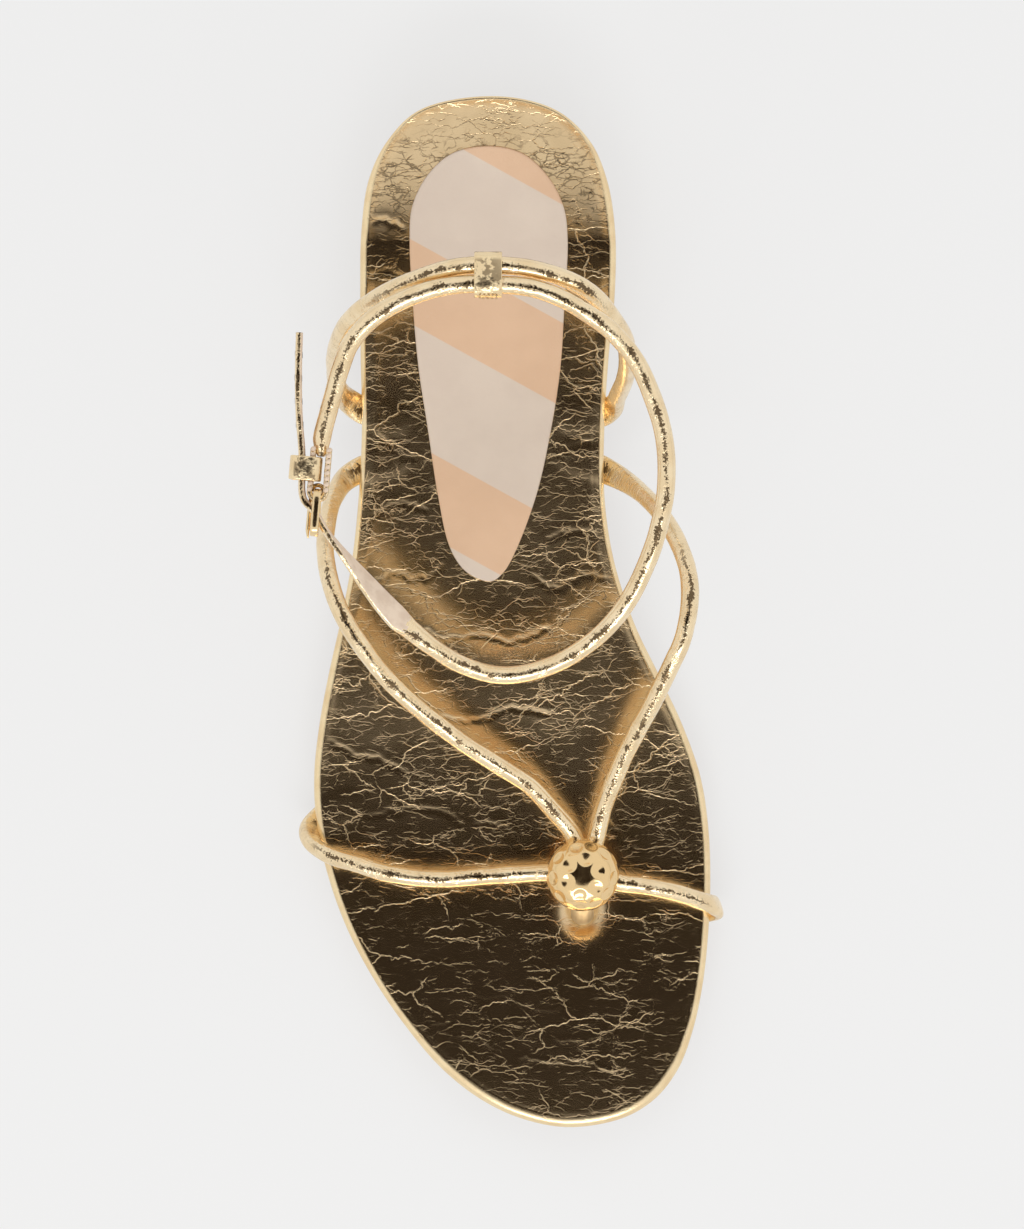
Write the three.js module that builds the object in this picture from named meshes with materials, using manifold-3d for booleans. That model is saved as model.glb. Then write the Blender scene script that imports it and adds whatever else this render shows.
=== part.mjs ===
// Flat gladiator sandal for the right foot: a thong sandal with an ankle wrap of rolled leather cord.
// Millimetres, +Z up, +Y toward the toe, +X toward the little toe. The origin is on the floor,
// in the middle of the heel's rest face.

import * as THREE from 'three';
import { mergeVertices } from 'three/addons/utils/BufferGeometryUtils.js';
import Module from 'manifold-3d';

const wasm = await Module();
wasm.setup();

// Sole
const SOLE_LENGTH = 245;
const BALL_WIDTH = 94.4;
const OUTSOLE_THICKNESS = 3;
const OUTSOLE_STEP = 0.7;
const FOOTBED_THICKNESS = 4.6;
const FOOTBED_EDGE_RADIUS = 2.2;
const HEEL_HEIGHT = 8;
const HEEL_LENGTH = 60;
const HEEL_STEP = 1;
const HEEL_TAPER = 1.2;
const LIFT_THICKNESS = 3;
const TOE_SPRING = 6;
const HEEL_CUP = 3.2;
const CUP_REACH = 25;
const SOCK_THICKNESS = 0.8;
const EDGE_CHAMFER = 0.7;

// Cords and straps
const CORD_DIAMETER = 4.2;
const POST_DIAMETER = 5.4;
const LASTED_WIDTH = 6.5;
const LASTED_THICKNESS = 1.8;
const STRIP_WIDTH = 6;
const STRIP_THICKNESS = 1.6;
const ANKLE_HEIGHT = 86;
const INSTEP_HEIGHT = 48;
const TOE_STRAP_HEIGHT = 21.8;
const FREE_END_LENGTH = 36;

// Buckle, tab, keepers and ornament
const BUCKLE_LENGTH = 11;
const BUCKLE_HEIGHT = 11;
const BUCKLE_THICKNESS = 1.8;
const BUCKLE_WALL = 1.8;
const BUCKLE_BEVEL = 0.4;
const BUCKLE_CORNER = 1.4;
const BUCKLE_YAW = 5;
const BAR_WIDTH = 1.4;
const PRONG_DIAMETER = 1;
const TAB_LEATHER = 1.3;
const TAB_LENGTH = 9.7;
const KEEPER_WALL = 0.9;
const KEEPER_SLACK = 0.4;
const KEEPER_CORNER = 1.4;
const TAIL_KEEPER_WIDTH = 5.6;
const BACK_KEEPER_WIDTH = 6.4;
const BACK_KEEPER_WALL = 0.7;
const ORNAMENT_DIAMETER = 17.2;
const ORNAMENT_CREST = 1.8;
const ORNAMENT_SEAT = 0.2;
const HAMMER_MARKS = 46;
const HAMMER_DEPTH = 0.45;

// Clearance between glued, lasted or threaded pieces
const GAP = 0.3;

// Facets
const OUTLINE_STEPS = 2;
const ROUTE_STEPS = 2;
const CORD_SIDES = 10;

// Stretches of the sole's side profile, as shares of its length
const SEAT_END = 0.22;
const BALL_START = 0.66;
const BALL_END = 0.74;

// Sole outline: along is a share of the sole's length from the heel, the two sides are shares of the ball width
const SOLE_OUTLINE = {
  heel: { along: 0, out: -0.015 },
  sides: [
    { along: 0.013, lateral: 0.174, medial: -0.166 },
    { along: 0.043, lateral: 0.257, medial: -0.253 },
    { along: 0.08, lateral: 0.304, medial: -0.296 },
    { along: 0.13, lateral: 0.323, medial: -0.317 },
    { along: 0.19, lateral: 0.326, medial: -0.316 },
    { along: 0.25, lateral: 0.325, medial: -0.301 },
    { along: 0.32, lateral: 0.322, medial: -0.29 },
    { along: 0.39, lateral: 0.331, medial: -0.291 },
    { along: 0.45, lateral: 0.348, medial: -0.315 },
    { along: 0.51, lateral: 0.378, medial: -0.366 },
    { along: 0.56, lateral: 0.407, medial: -0.428 },
    { along: 0.61, lateral: 0.431, medial: -0.489 },
    { along: 0.66, lateral: 0.444, medial: -0.534 },
    { along: 0.71, lateral: 0.436, medial: -0.554 },
    { along: 0.76, lateral: 0.406, medial: -0.559 },
    { along: 0.81, lateral: 0.358, medial: -0.554 },
    { along: 0.86, lateral: 0.288, medial: -0.54 },
    { along: 0.905, lateral: 0.207, medial: -0.515 },
    { along: 0.943, lateral: 0.122, medial: -0.478 },
    { along: 0.972, lateral: 0.027, medial: -0.42 },
    { along: 0.991, lateral: -0.076, medial: -0.338 },
  ],
  toe: { along: 1, out: -0.2 },
  capRows: 3,
};

// Outline of the heel sock, in the same shares
const SOCK_OUTLINE = {
  heel: { along: 0.048, out: 0.002 },
  sides: [
    { along: 0.055, lateral: 0.094, medial: -0.083 },
    { along: 0.077, lateral: 0.158, medial: -0.147 },
    { along: 0.107, lateral: 0.195, medial: -0.187 },
    { along: 0.138, lateral: 0.201, medial: -0.197 },
    { along: 0.199, lateral: 0.193, medial: -0.189 },
    { along: 0.261, lateral: 0.179, medial: -0.179 },
    { along: 0.322, lateral: 0.155, medial: -0.155 },
    { along: 0.383, lateral: 0.131, medial: -0.12 },
    { along: 0.437, lateral: 0.099, medial: -0.069 },
    { along: 0.46, lateral: 0.058, medial: -0.036 },
  ],
  toe: { along: 0.469, out: -0.004 },
  capRows: 2,
};

// Rise of the footbed's edge over its middle, as a share of the heel cup's height
const CUP_PROFILE = [
  { along: 0, rise: 1 },
  { along: 0.1, rise: 0.94 },
  { along: 0.2, rise: 0.5 },
  { along: 0.3, rise: 0.25 },
  { along: 0.5, rise: 0.16 },
  { along: 0.7, rise: 0.25 },
  { along: 1, rise: 0.31 },
];

// Strap routes: up is the share of the way from the seam under the footbed to the strap's named height,
// flat is 0 on a round cord and 1 on a flat strip
const CROSSING = { along: 0.753, out: -0.234, up: 0.957 };

const TOE_STRAP = [
  { along: 0.688, out: 0.373, up: 0, flat: 1 },
  { along: 0.699, out: 0.419, up: 0, flat: 1 },
  { along: 0.711, out: 0.451, up: 0.13, flat: 0.7 },
  { along: 0.723, out: 0.449, up: 0.4, flat: 0.3 },
  { along: 0.734, out: 0.408, up: 0.64, flat: 0 },
  { along: 0.743, out: 0.335, up: 0.823, flat: 0 },
  { along: 0.753, out: 0.239, up: 0.93, flat: 0 },
  { along: 0.757, out: 0.113, up: 0.984, flat: 0 },
  { along: 0.754, out: 0, up: 1, flat: 0 },
  { along: 0.751, out: -0.143, up: 0.984, flat: 0 },
  { ...CROSSING, flat: 0 },
  { along: 0.761, out: -0.326, up: 0.941, flat: 0 },
  { along: 0.764, out: -0.388, up: 0.903, flat: 0 },
  { along: 0.769, out: -0.453, up: 0.833, flat: 0 },
  { along: 0.776, out: -0.51, up: 0.686, flat: 0 },
  { along: 0.783, out: -0.556, up: 0.468, flat: 0.3 },
  { along: 0.787, out: -0.573, up: 0.168, flat: 0.7 },
  { along: 0.789, out: -0.545, up: 0, flat: 1 },
  { along: 0.789, out: -0.49, up: 0, flat: 1 },
];

const LATERAL_INSTEP = [
  { along: 0.355, out: 0.265, up: 0, flat: 1 },
  { along: 0.36, out: 0.32, up: 0, flat: 1 },
  { along: 0.37, out: 0.363, up: 0.072, flat: 0.6 },
  { along: 0.39, out: 0.392, up: 0.292, flat: 0.1 },
  { along: 0.415, out: 0.406, up: 0.532, flat: 0 },
  { along: 0.441, out: 0.408, up: 0.713, flat: 0 },
  { along: 0.466, out: 0.397, up: 0.836, flat: 0 },
  { along: 0.499, out: 0.367, up: 0.92, flat: 0 },
  { along: 0.534, out: 0.311, up: 0.933, flat: 0 },
  { along: 0.569, out: 0.237, up: 0.889, flat: 0 },
  { along: 0.6, out: 0.148, up: 0.81, flat: 0 },
  { along: 0.627, out: 0.055, up: 0.721, flat: 0 },
  { along: 0.65, out: -0.038, up: 0.632, flat: 0 },
  { along: 0.668, out: -0.106, up: 0.565, flat: 0 },
  { along: 0.69, out: -0.158, up: 0.498, flat: 0 },
  { along: 0.712, out: -0.206, up: 0.443, flat: 0 },
  { along: 0.733, out: -0.226, up: 0.414, flat: 0 },
];

const MEDIAL_INSTEP = [
  { along: 0.352, out: -0.235, up: 0, flat: 1 },
  { along: 0.36, out: -0.284, up: 0, flat: 1 },
  { along: 0.369, out: -0.329, up: 0.097, flat: 0.6 },
  { along: 0.384, out: -0.381, up: 0.314, flat: 0.1 },
  { along: 0.406, out: -0.431, up: 0.553, flat: 0 },
  { along: 0.434, out: -0.471, up: 0.759, flat: 0 },
  { along: 0.463, out: -0.494, up: 0.906, flat: 0 },
  { along: 0.491, out: -0.496, up: 0.989, flat: 0 },
  { along: 0.523, out: -0.48, up: 1, flat: 0 },
  { along: 0.553, out: -0.447, up: 0.933, flat: 0 },
  { along: 0.582, out: -0.411, up: 0.844, flat: 0 },
  { along: 0.609, out: -0.374, up: 0.755, flat: 0 },
  { along: 0.638, out: -0.337, up: 0.654, flat: 0 },
  { along: 0.668, out: -0.304, up: 0.565, flat: 0 },
  { along: 0.69, out: -0.284, up: 0.498, flat: 0 },
  { along: 0.712, out: -0.271, up: 0.443, flat: 0 },
  { along: 0.733, out: -0.256, up: 0.414, flat: 0 },
];

const TOE_POST = [
  { ...CROSSING, flat: 0 },
  { along: 0.767, out: -0.234, up: 0.8, flat: 0 },
  { along: 0.783, out: -0.235, up: 0.53, flat: 0 },
  { along: 0.793, out: -0.235, up: 0.2, flat: 0 },
  { along: 0.796, out: -0.235, up: 0.03, flat: 0 },
];

// The column beside moves a row of the sling outward by that many cord pitches, clear of the ankle strap
const HEEL_SLING = [
  { along: 0.309, out: 0.265, up: 0, flat: 1, beside: 0 },
  { along: 0.303, out: 0.318, up: 0, flat: 1, beside: 0 },
  { along: 0.294, out: 0.355, up: 0.035, flat: 0.7, beside: 0 },
  { along: 0.283, out: 0.378, up: 0.158, flat: 0.1, beside: 0 },
  { along: 0.264, out: 0.384, up: 0.345, flat: 0, beside: 0 },
  { along: 0.245, out: 0.374, up: 0.532, flat: 0, beside: 0 },
  { along: 0.225, out: 0.344, up: 0.699, flat: 0, beside: 0 },
  { along: 0.212, out: 0.277, up: 0.826, flat: 0, beside: 0.3 },
  { along: 0.204, out: 0.203, up: 0.906, flat: 0, beside: 0.6 },
  { along: 0.2, out: 0.126, up: 0.953, flat: 0, beside: 0.95 },
  { along: 0.195, out: 0.062, up: 0.973, flat: 0, beside: 1 },
  { along: 0.194, out: -0.017, up: 0.98, flat: 0, beside: 1 },
  { along: 0.197, out: -0.094, up: 0.973, flat: 0, beside: 1 },
  { along: 0.203, out: -0.167, up: 0.953, flat: 0, beside: 0.9 },
  { along: 0.211, out: -0.237, up: 0.906, flat: 0, beside: 0.6 },
  { along: 0.225, out: -0.288, up: 0.82, flat: 0, beside: 0.3 },
  { along: 0.239, out: -0.331, up: 0.693, flat: 0, beside: 0 },
  { along: 0.258, out: -0.342, up: 0.532, flat: 0, beside: 0 },
  { along: 0.276, out: -0.337, up: 0.345, flat: 0, beside: 0 },
  { along: 0.29, out: -0.322, up: 0.159, flat: 0.1, beside: 0 },
  { along: 0.3, out: -0.31, up: 0.035, flat: 0.7, beside: 0 },
  { along: 0.306, out: -0.282, up: 0, flat: 1, beside: 0 },
  { along: 0.308, out: -0.23, up: 0, flat: 1, beside: 0 },
];

// Ankle strap from the buckle around the front of the ankle and the back to the buckle's tab:
// lean is how far the strip's upper edge tips outward, in degrees
const ANKLE_WRAP = [
  { along: 0.441, out: 0.361, up: 0.879, flat: 1, lean: 8 },
  { along: 0.463, out: 0.316, up: 0.864, flat: 1, lean: 25 },
  { along: 0.487, out: 0.265, up: 0.847, flat: 1, lean: 45 },
  { along: 0.505, out: 0.222, up: 0.826, flat: 1, lean: 60 },
  { along: 0.515, out: 0.194, up: 0.806, flat: 0.3, lean: 60 },
  { along: 0.533, out: 0.134, up: 0.77, flat: 0, lean: 60 },
  { along: 0.549, out: 0.064, up: 0.728, flat: 0, lean: 60 },
  { along: 0.558, out: -0.013, up: 0.71, flat: 0, lean: 60 },
  { along: 0.557, out: -0.086, up: 0.71, flat: 0, lean: 60 },
  { along: 0.548, out: -0.163, up: 0.722, flat: 0, lean: 60 },
  { along: 0.531, out: -0.237, up: 0.746, flat: 0, lean: 60 },
  { along: 0.508, out: -0.303, up: 0.775, flat: 0, lean: 60 },
  { along: 0.482, out: -0.35, up: 0.803, flat: 0, lean: 60 },
  { along: 0.451, out: -0.388, up: 0.838, flat: 0, lean: 60 },
  { along: 0.417, out: -0.416, up: 0.867, flat: 0, lean: 60 },
  { along: 0.382, out: -0.431, up: 0.89, flat: 0, lean: 60 },
  { along: 0.353, out: -0.431, up: 0.905, flat: 0, lean: 60 },
  { along: 0.326, out: -0.421, up: 0.92, flat: 0, lean: 60 },
  { along: 0.298, out: -0.397, up: 0.937, flat: 0, lean: 60 },
  { along: 0.273, out: -0.37, up: 0.951, flat: 0, lean: 60 },
  { along: 0.254, out: -0.337, up: 0.963, flat: 0, lean: 60 },
  { along: 0.237, out: -0.297, up: 0.973, flat: 0, lean: 60 },
  { along: 0.222, out: -0.245, up: 0.983, flat: 0, lean: 60 },
  { along: 0.208, out: -0.184, up: 0.991, flat: 0, lean: 60 },
  { along: 0.197, out: -0.104, up: 0.997, flat: 0, lean: 60 },
  { along: 0.194, out: -0.017, up: 1, flat: 0, lean: 60 },
  { along: 0.194, out: 0.07, up: 0.997, flat: 0, lean: 60 },
  { along: 0.199, out: 0.143, up: 0.991, flat: 0, lean: 60 },
  { along: 0.21, out: 0.216, up: 0.983, flat: 0, lean: 60 },
  { along: 0.226, out: 0.283, up: 0.967, flat: 0, lean: 60 },
  { along: 0.248, out: 0.333, up: 0.949, flat: 0, lean: 60 },
  { along: 0.27, out: 0.358, up: 0.936, flat: 0, lean: 50 },
  { along: 0.295, out: 0.377, up: 0.923, flat: 0, lean: 30 },
  { along: 0.319, out: 0.394, up: 0.91, flat: 0, lean: 10 },
  { along: 0.337, out: 0.405, up: 0.899, flat: 0, lean: 0 },
];

// The buckle's bar, on the lateral side of the ankle
const BUCKLE_BAR = { along: 0.3865, out: 0.4153, up: 0.883 };

// Middle of the ankle, seen from above: outward means away from here
const ANKLE_MIDDLE = { along: 0.36, out: 0 };

// Blends and powers

function mix(from, to, share) {
  return from + (to - from) * share;
}

function smoothStep(from, to, value) {
  const share = Math.min(1, Math.max(0, (value - from) / (to - from)));
  return share * share * (3 - 2 * share);
}

function signedPower(value, exponent) {
  return Math.sign(value) * Math.abs(value) ** exponent;
}

// Heights of the sole

function alongOf(y) {
  return (y + HEEL_LENGTH / 2) / SOLE_LENGTH;
}

function undersideHeight(along) {
  const arch = HEEL_HEIGHT * (1 - smoothStep(SEAT_END, BALL_START, along));
  const spring = TOE_SPRING * (Math.max(0, along - BALL_END) / (1 - BALL_END)) ** 2;
  return arch + spring;
}

function seamHeight(along) {
  return undersideHeight(along) + OUTSOLE_THICKNESS + GAP / 2;
}

function cupHeight(along) {
  const last = CUP_PROFILE.length - 1;
  let row = 1;
  while (row < last && CUP_PROFILE[row].along < along) {
    row += 1;
  }
  const before = CUP_PROFILE[row - 1];
  const after = CUP_PROFILE[row];
  return HEEL_CUP * mix(before.rise, after.rise, smoothStep(before.along, after.along, along));
}

function footbedTop(x, y) {
  const along = alongOf(y);
  const nearEdge = Math.max(0, 1 - edgeDistance(x, y) / CUP_REACH);
  return seamHeight(along) + GAP / 2 + FOOTBED_THICKNESS + cupHeight(along) * nearEdge ** 2;
}

// Outlines

function planPoint(along, out) {
  return new THREE.Vector3(out * BALL_WIDTH, along * SOLE_LENGTH - HEEL_LENGTH / 2, 0);
}

function makeOutline(table) {
  const lateral = table.sides.map((row) => planPoint(row.along, row.lateral));
  const medial = table.sides.map((row) => planPoint(row.along, row.medial)).reverse();
  const heel = planPoint(table.heel.along, table.heel.out);
  const toe = planPoint(table.toe.along, table.toe.out);
  const knots = [heel, ...lateral, toe, ...medial];
  const curve = new THREE.CatmullRomCurve3(knots, true, 'centripetal');
  const count = knots.length * OUTLINE_STEPS;
  const points = [];
  for (let index = 0; index < count; index += 1) {
    points.push(curve.getPoint(index / count));
  }
  const inward = points.map((point, index) => {
    const ahead = points[(index + 1) % count];
    const behind = points[(index + count - 1) % count];
    const side = ahead.clone().sub(behind).normalize();
    return new THREE.Vector3(-side.y, side.x, 0);
  });
  const capSteps = table.capRows * OUTLINE_STEPS;
  const spine = points.map((point, index) => {
    const onSide = Math.min(index, count - index);
    const held = Math.min(count / 2 - capSteps, Math.max(capSteps, onSide));
    return points[held].clone().add(points[count - held]).multiplyScalar(0.5);
  });
  return { points, inward, spine };
}

const soleOutline = makeOutline(SOLE_OUTLINE);
const sockOutline = makeOutline(SOCK_OUTLINE);

function edgeDistance(x, y) {
  const place = new THREE.Vector3(x, y, 0);
  const nearest = new THREE.Vector3();
  let least = Infinity;
  soleOutline.points.forEach((point, index, all) => {
    const edge = new THREE.Line3(point, all[(index + 1) % all.length]);
    edge.closestPointToPoint(place, true, nearest);
    least = Math.min(least, nearest.distanceTo(place));
  });
  return least;
}

// Solids

function closedGeometry(positions, triangles) {
  const geometry = new THREE.BufferGeometry();
  geometry.setAttribute('position', new THREE.Float32BufferAttribute(positions, 3));
  geometry.setIndex(triangles);
  return tidyGeometry(geometry);
}

function tidyGeometry(source) {
  const bare = source.clone();
  bare.deleteAttribute('normal');
  bare.deleteAttribute('uv');
  const merged = mergeVertices(bare, 1e-4);
  const corners = Array.from(merged.index.array);
  const kept = [];
  for (let start = 0; start < corners.length; start += 3) {
    const [a, b, c] = corners.slice(start, start + 3);
    if (a !== b && b !== c && c !== a) {
      kept.push(a, b, c);
    }
  }
  merged.setIndex(kept);
  return merged;
}

function solidOf(geometry) {
  const tidy = tidyGeometry(geometry);
  const mesh = new wasm.Mesh({
    numProp: 3,
    vertProperties: new Float32Array(tidy.attributes.position.array),
    triVerts: new Uint32Array(tidy.index.array),
  });
  return new wasm.Manifold(mesh);
}

function geometryOf(solid) {
  const mesh = solid.getMesh();
  const geometry = new THREE.BufferGeometry();
  geometry.setAttribute('position', new THREE.BufferAttribute(new Float32Array(mesh.vertProperties), 3));
  geometry.setIndex(new THREE.BufferAttribute(new Uint32Array(mesh.triVerts), 1));
  return geometry;
}

// Stacks rings of one outline, from the middle of its underside around its edge to the middle of its top
function plate(outline, layers) {
  const count = outline.points.length;
  const positions = [];
  layers.forEach((layer) => {
    for (let index = 0; index < count; index += 1) {
      const edge = outline.points[index].clone().addScaledVector(outline.inward[index], layer.inset);
      const place = edge.lerp(outline.spine[index], layer.toSpine ?? 0);
      positions.push(place.x, place.y, layer.height(place.x, place.y));
    }
  });
  const triangles = [];
  for (let layer = 0; layer + 1 < layers.length; layer += 1) {
    for (let index = 0; index < count; index += 1) {
      const next = (index + 1) % count;
      const low = layer * count + index;
      const lowNext = layer * count + next;
      triangles.push(low, lowNext, lowNext + count, low, lowNext + count, low + count);
    }
  }
  return closedGeometry(positions, triangles);
}

// Sweeps a rounded section along stations with a centre, a frame, half sizes and a flatness
function sweep(stations, grow) {
  const positions = [];
  stations.forEach((station) => {
    const exponent = 1 - 0.5 * station.flat;
    for (let side = 0; side < CORD_SIDES; side += 1) {
      const angle = ((side + 0.5) / CORD_SIDES) * 2 * Math.PI;
      const across = signedPower(Math.cos(angle), exponent) * (station.halfWidth + grow);
      const deep = signedPower(Math.sin(angle), exponent) * (station.halfThickness + grow);
      const corner = station.centre.clone();
      corner.addScaledVector(station.across, across);
      corner.addScaledVector(station.deep, deep);
      positions.push(corner.x, corner.y, corner.z);
    }
  });
  const first = stations[0].centre;
  const last = stations[stations.length - 1].centre;
  const firstIndex = stations.length * CORD_SIDES;
  const lastIndex = firstIndex + 1;
  positions.push(first.x, first.y, first.z, last.x, last.y, last.z);
  const triangles = [];
  for (let step = 0; step + 1 < stations.length; step += 1) {
    for (let side = 0; side < CORD_SIDES; side += 1) {
      const next = (side + 1) % CORD_SIDES;
      const low = step * CORD_SIDES + side;
      const lowNext = step * CORD_SIDES + next;
      triangles.push(low, lowNext, lowNext + CORD_SIDES, low, lowNext + CORD_SIDES, low + CORD_SIDES);
    }
  }
  for (let side = 0; side < CORD_SIDES; side += 1) {
    const next = (side + 1) % CORD_SIDES;
    const endRing = (stations.length - 1) * CORD_SIDES;
    triangles.push(firstIndex, next, side);
    triangles.push(lastIndex, endRing + side, endRing + next);
  }
  return closedGeometry(positions, triangles);
}

// Points, tangents and shaped columns at even steps along a route's rows
function sampleRoute(rows, points) {
  const curve = new THREE.CatmullRomCurve3(points, false, 'centripetal');
  const spans = rows.length - 1;
  const samples = [];
  for (let step = 0; step <= spans * ROUTE_STEPS; step += 1) {
    const row = Math.min(spans - 1, Math.floor(step / ROUTE_STEPS));
    const share = step / ROUTE_STEPS - row;
    const before = rows[row];
    const after = rows[row + 1];
    samples.push({
      centre: curve.getPoint(step / (spans * ROUTE_STEPS)),
      tangent: curve.getTangent(step / (spans * ROUTE_STEPS)),
      flat: mix(before.flat, after.flat, share),
      lean: mix(before.lean ?? 0, after.lean ?? 0, share),
    });
  }
  return samples;
}

// Carries the section's frame along a cord; both lasted ends lie level, and the twist between is spread
function carryFrames(samples) {
  const up = new THREE.Vector3(0, 0, 1);
  let across = samples[0].tangent.clone().cross(up).normalize();
  samples.forEach((sample) => {
    across = across.clone().addScaledVector(sample.tangent, -across.dot(sample.tangent)).normalize();
    sample.across = across;
  });
  const last = samples[samples.length - 1];
  const level = last.tangent.clone().cross(up).normalize();
  const sine = last.across.clone().cross(level).dot(last.tangent);
  const turn = Math.atan(sine / last.across.dot(level));
  samples.forEach((sample, index) => {
    const share = last.flat > 0 ? index / (samples.length - 1) : 0;
    sample.across = sample.across.clone().applyAxisAngle(sample.tangent, turn * share);
    sample.deep = sample.tangent.clone().cross(sample.across);
  });
}

// Stands the section's width upright around the ankle, tipped outward by the lean
function uprightFrames(samples) {
  const up = new THREE.Vector3(0, 0, 1);
  const middle = planPoint(ANKLE_MIDDLE.along, ANKLE_MIDDLE.out);
  samples.forEach((sample) => {
    const outward = sample.tangent.clone().cross(up).normalize();
    if (outward.dot(sample.centre.clone().sub(middle)) < 0) {
      outward.negate();
    }
    const upright = up.clone().addScaledVector(sample.tangent, -sample.tangent.z).normalize();
    const lean = THREE.MathUtils.degToRad(sample.lean);
    sample.across = upright.multiplyScalar(Math.cos(lean)).addScaledVector(outward, Math.sin(lean));
    sample.deep = sample.tangent.clone().cross(sample.across);
  });
}

function shapeStations(samples, roundDiameter, flatWidth, flatThickness) {
  samples.forEach((sample) => {
    sample.halfWidth = mix(roundDiameter, flatWidth, sample.flat) / 2;
    sample.halfThickness = mix(roundDiameter, flatThickness, sample.flat) / 2;
  });
}

// The stations with both ends drawn out, for cutting the room that a strap takes
function lengthened(samples, extra) {
  const longer = samples.map((sample) => ({ ...sample, centre: sample.centre.clone() }));
  longer[0].centre.addScaledVector(longer[0].tangent, -extra);
  const end = longer[longer.length - 1];
  end.centre.addScaledVector(end.tangent, extra);
  return longer;
}

function routePoint(row, height) {
  const place = planPoint(row.along, row.out);
  place.z = mix(seamHeight(row.along), height, row.up);
  return place;
}

function lastedCord(rows, points, diameter) {
  const samples = sampleRoute(rows, points);
  carryFrames(samples);
  shapeStations(samples, diameter, LASTED_WIDTH, LASTED_THICKNESS);
  return samples;
}

// Forefoot straps

const crossingPoint = routePoint(CROSSING, TOE_STRAP_HEIGHT);

function instepCord(table) {
  const rows = [...table, { flat: 0 }];
  const points = [...table.map((row) => routePoint(row, INSTEP_HEIGHT)), crossingPoint];
  return lastedCord(rows, points, CORD_DIAMETER);
}

function toeCord(table, diameter) {
  return lastedCord(table, table.map((row) => routePoint(row, TOE_STRAP_HEIGHT)), diameter);
}

const forefootCords = [
  toeCord(TOE_STRAP, CORD_DIAMETER),
  instepCord(LATERAL_INSTEP),
  instepCord(MEDIAL_INSTEP),
  toeCord(TOE_POST, POST_DIAMETER),
];

function forefootSolid(extra) {
  const solids = forefootCords.map((cord) => solidOf(sweep(lengthened(cord, extra), extra)));
  return solids.reduce((sum, solid) => sum.add(solid));
}

// Heel sling

function slingPoint(row) {
  const place = routePoint(row, ANKLE_HEIGHT);
  const outward = place.clone().sub(planPoint(ANKLE_MIDDLE.along, ANKLE_MIDDLE.out)).setZ(0).normalize();
  return place.addScaledVector(outward, row.beside * (CORD_DIAMETER + GAP));
}

const slingCord = lastedCord(HEEL_SLING, HEEL_SLING.map(slingPoint), CORD_DIAMETER);

// Buckle's own axes: forward along the strap, outward from the ankle, and up

const barPoint = routePoint(BUCKLE_BAR, ANKLE_HEIGHT);
const buckleYaw = THREE.MathUtils.degToRad(BUCKLE_YAW);
const buckleForward = new THREE.Vector3(Math.sin(buckleYaw), Math.cos(buckleYaw), 0);
const buckleOutward = new THREE.Vector3(Math.cos(buckleYaw), -Math.sin(buckleYaw), 0);
const buckleUp = new THREE.Vector3(0, 0, 1);

function buckleSpace(forward, outward, up) {
  const place = barPoint.clone().addScaledVector(buckleForward, forward);
  return place.addScaledVector(buckleOutward, outward).addScaledVector(buckleUp, up);
}

function buckleMatrix(xAxis, yAxis, zAxis, origin) {
  return new THREE.Matrix4().makeBasis(xAxis, yAxis, zAxis).setPosition(origin);
}

function roundedShape(left, right, bottom, top, radius) {
  const shape = new THREE.Shape();
  shape.moveTo(left + radius, bottom);
  shape.lineTo(right - radius, bottom);
  shape.absarc(right - radius, bottom + radius, radius, -Math.PI / 2, 0);
  shape.lineTo(right, top - radius);
  shape.absarc(right - radius, top - radius, radius, 0, Math.PI / 2);
  shape.lineTo(left + radius, top);
  shape.absarc(left + radius, top - radius, radius, Math.PI / 2, Math.PI);
  shape.lineTo(left, bottom + radius);
  shape.absarc(left + radius, bottom + radius, radius, Math.PI, 1.5 * Math.PI);
  return shape;
}

// Buckle frame and prong

const windowHeight = STRIP_WIDTH + 4 * GAP;
const windowStart = BAR_WIDTH / 2;
const windowEnd = BUCKLE_LENGTH - BAR_WIDTH / 2 - BUCKLE_WALL;
const frameEnd = windowEnd + BUCKLE_WALL;
const barRadius = Math.hypot(BAR_WIDTH / 2, BUCKLE_THICKNESS / 2 - BUCKLE_BEVEL);
const foldInside = barRadius + GAP;
const foldOutside = foldInside + TAB_LEATHER;

function buckleFrame() {
  const bevel = BUCKLE_BEVEL;
  const half = BUCKLE_HEIGHT / 2;
  const start = -BAR_WIDTH / 2;
  const corner = BUCKLE_CORNER - bevel;
  const shape = roundedShape(start + bevel, frameEnd - bevel, bevel - half, half - bevel, corner);
  const window = roundedShape(
    windowStart - bevel, windowEnd + bevel, -windowHeight / 2 - bevel, windowHeight / 2 + bevel, corner,
  );
  shape.holes.push(window);
  const geometry = new THREE.ExtrudeGeometry(shape, {
    depth: BUCKLE_THICKNESS - 2 * bevel,
    curveSegments: 2,
    bevelThickness: bevel,
    bevelSize: bevel,
    bevelSegments: 1,
  });
  geometry.translate(0, 0, bevel - BUCKLE_THICKNESS / 2);
  return geometry.applyMatrix4(buckleMatrix(buckleForward, buckleUp, buckleOutward, barPoint));
}

const prongRadius = PRONG_DIAMETER / 2;
const prongRing = barRadius + GAP / 2 + prongRadius;
const prongRest = BUCKLE_THICKNESS / 2 + prongRadius + GAP / 2;
const keeperStart = prongRing + prongRadius + GAP;

function prongStations() {
  const rows = [
    { forward: prongRing * 0.45, radius: prongRadius },
    { forward: windowEnd, radius: prongRadius },
    { forward: frameEnd + PRONG_DIAMETER / 2, radius: prongRadius * 0.6 },
  ];
  return rows.map((row) => ({
    centre: buckleSpace(row.forward, prongRest, 0),
    tangent: buckleForward,
    across: buckleUp,
    deep: buckleForward.clone().cross(buckleUp),
    flat: 0,
    halfWidth: row.radius,
    halfThickness: row.radius,
  }));
}

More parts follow.
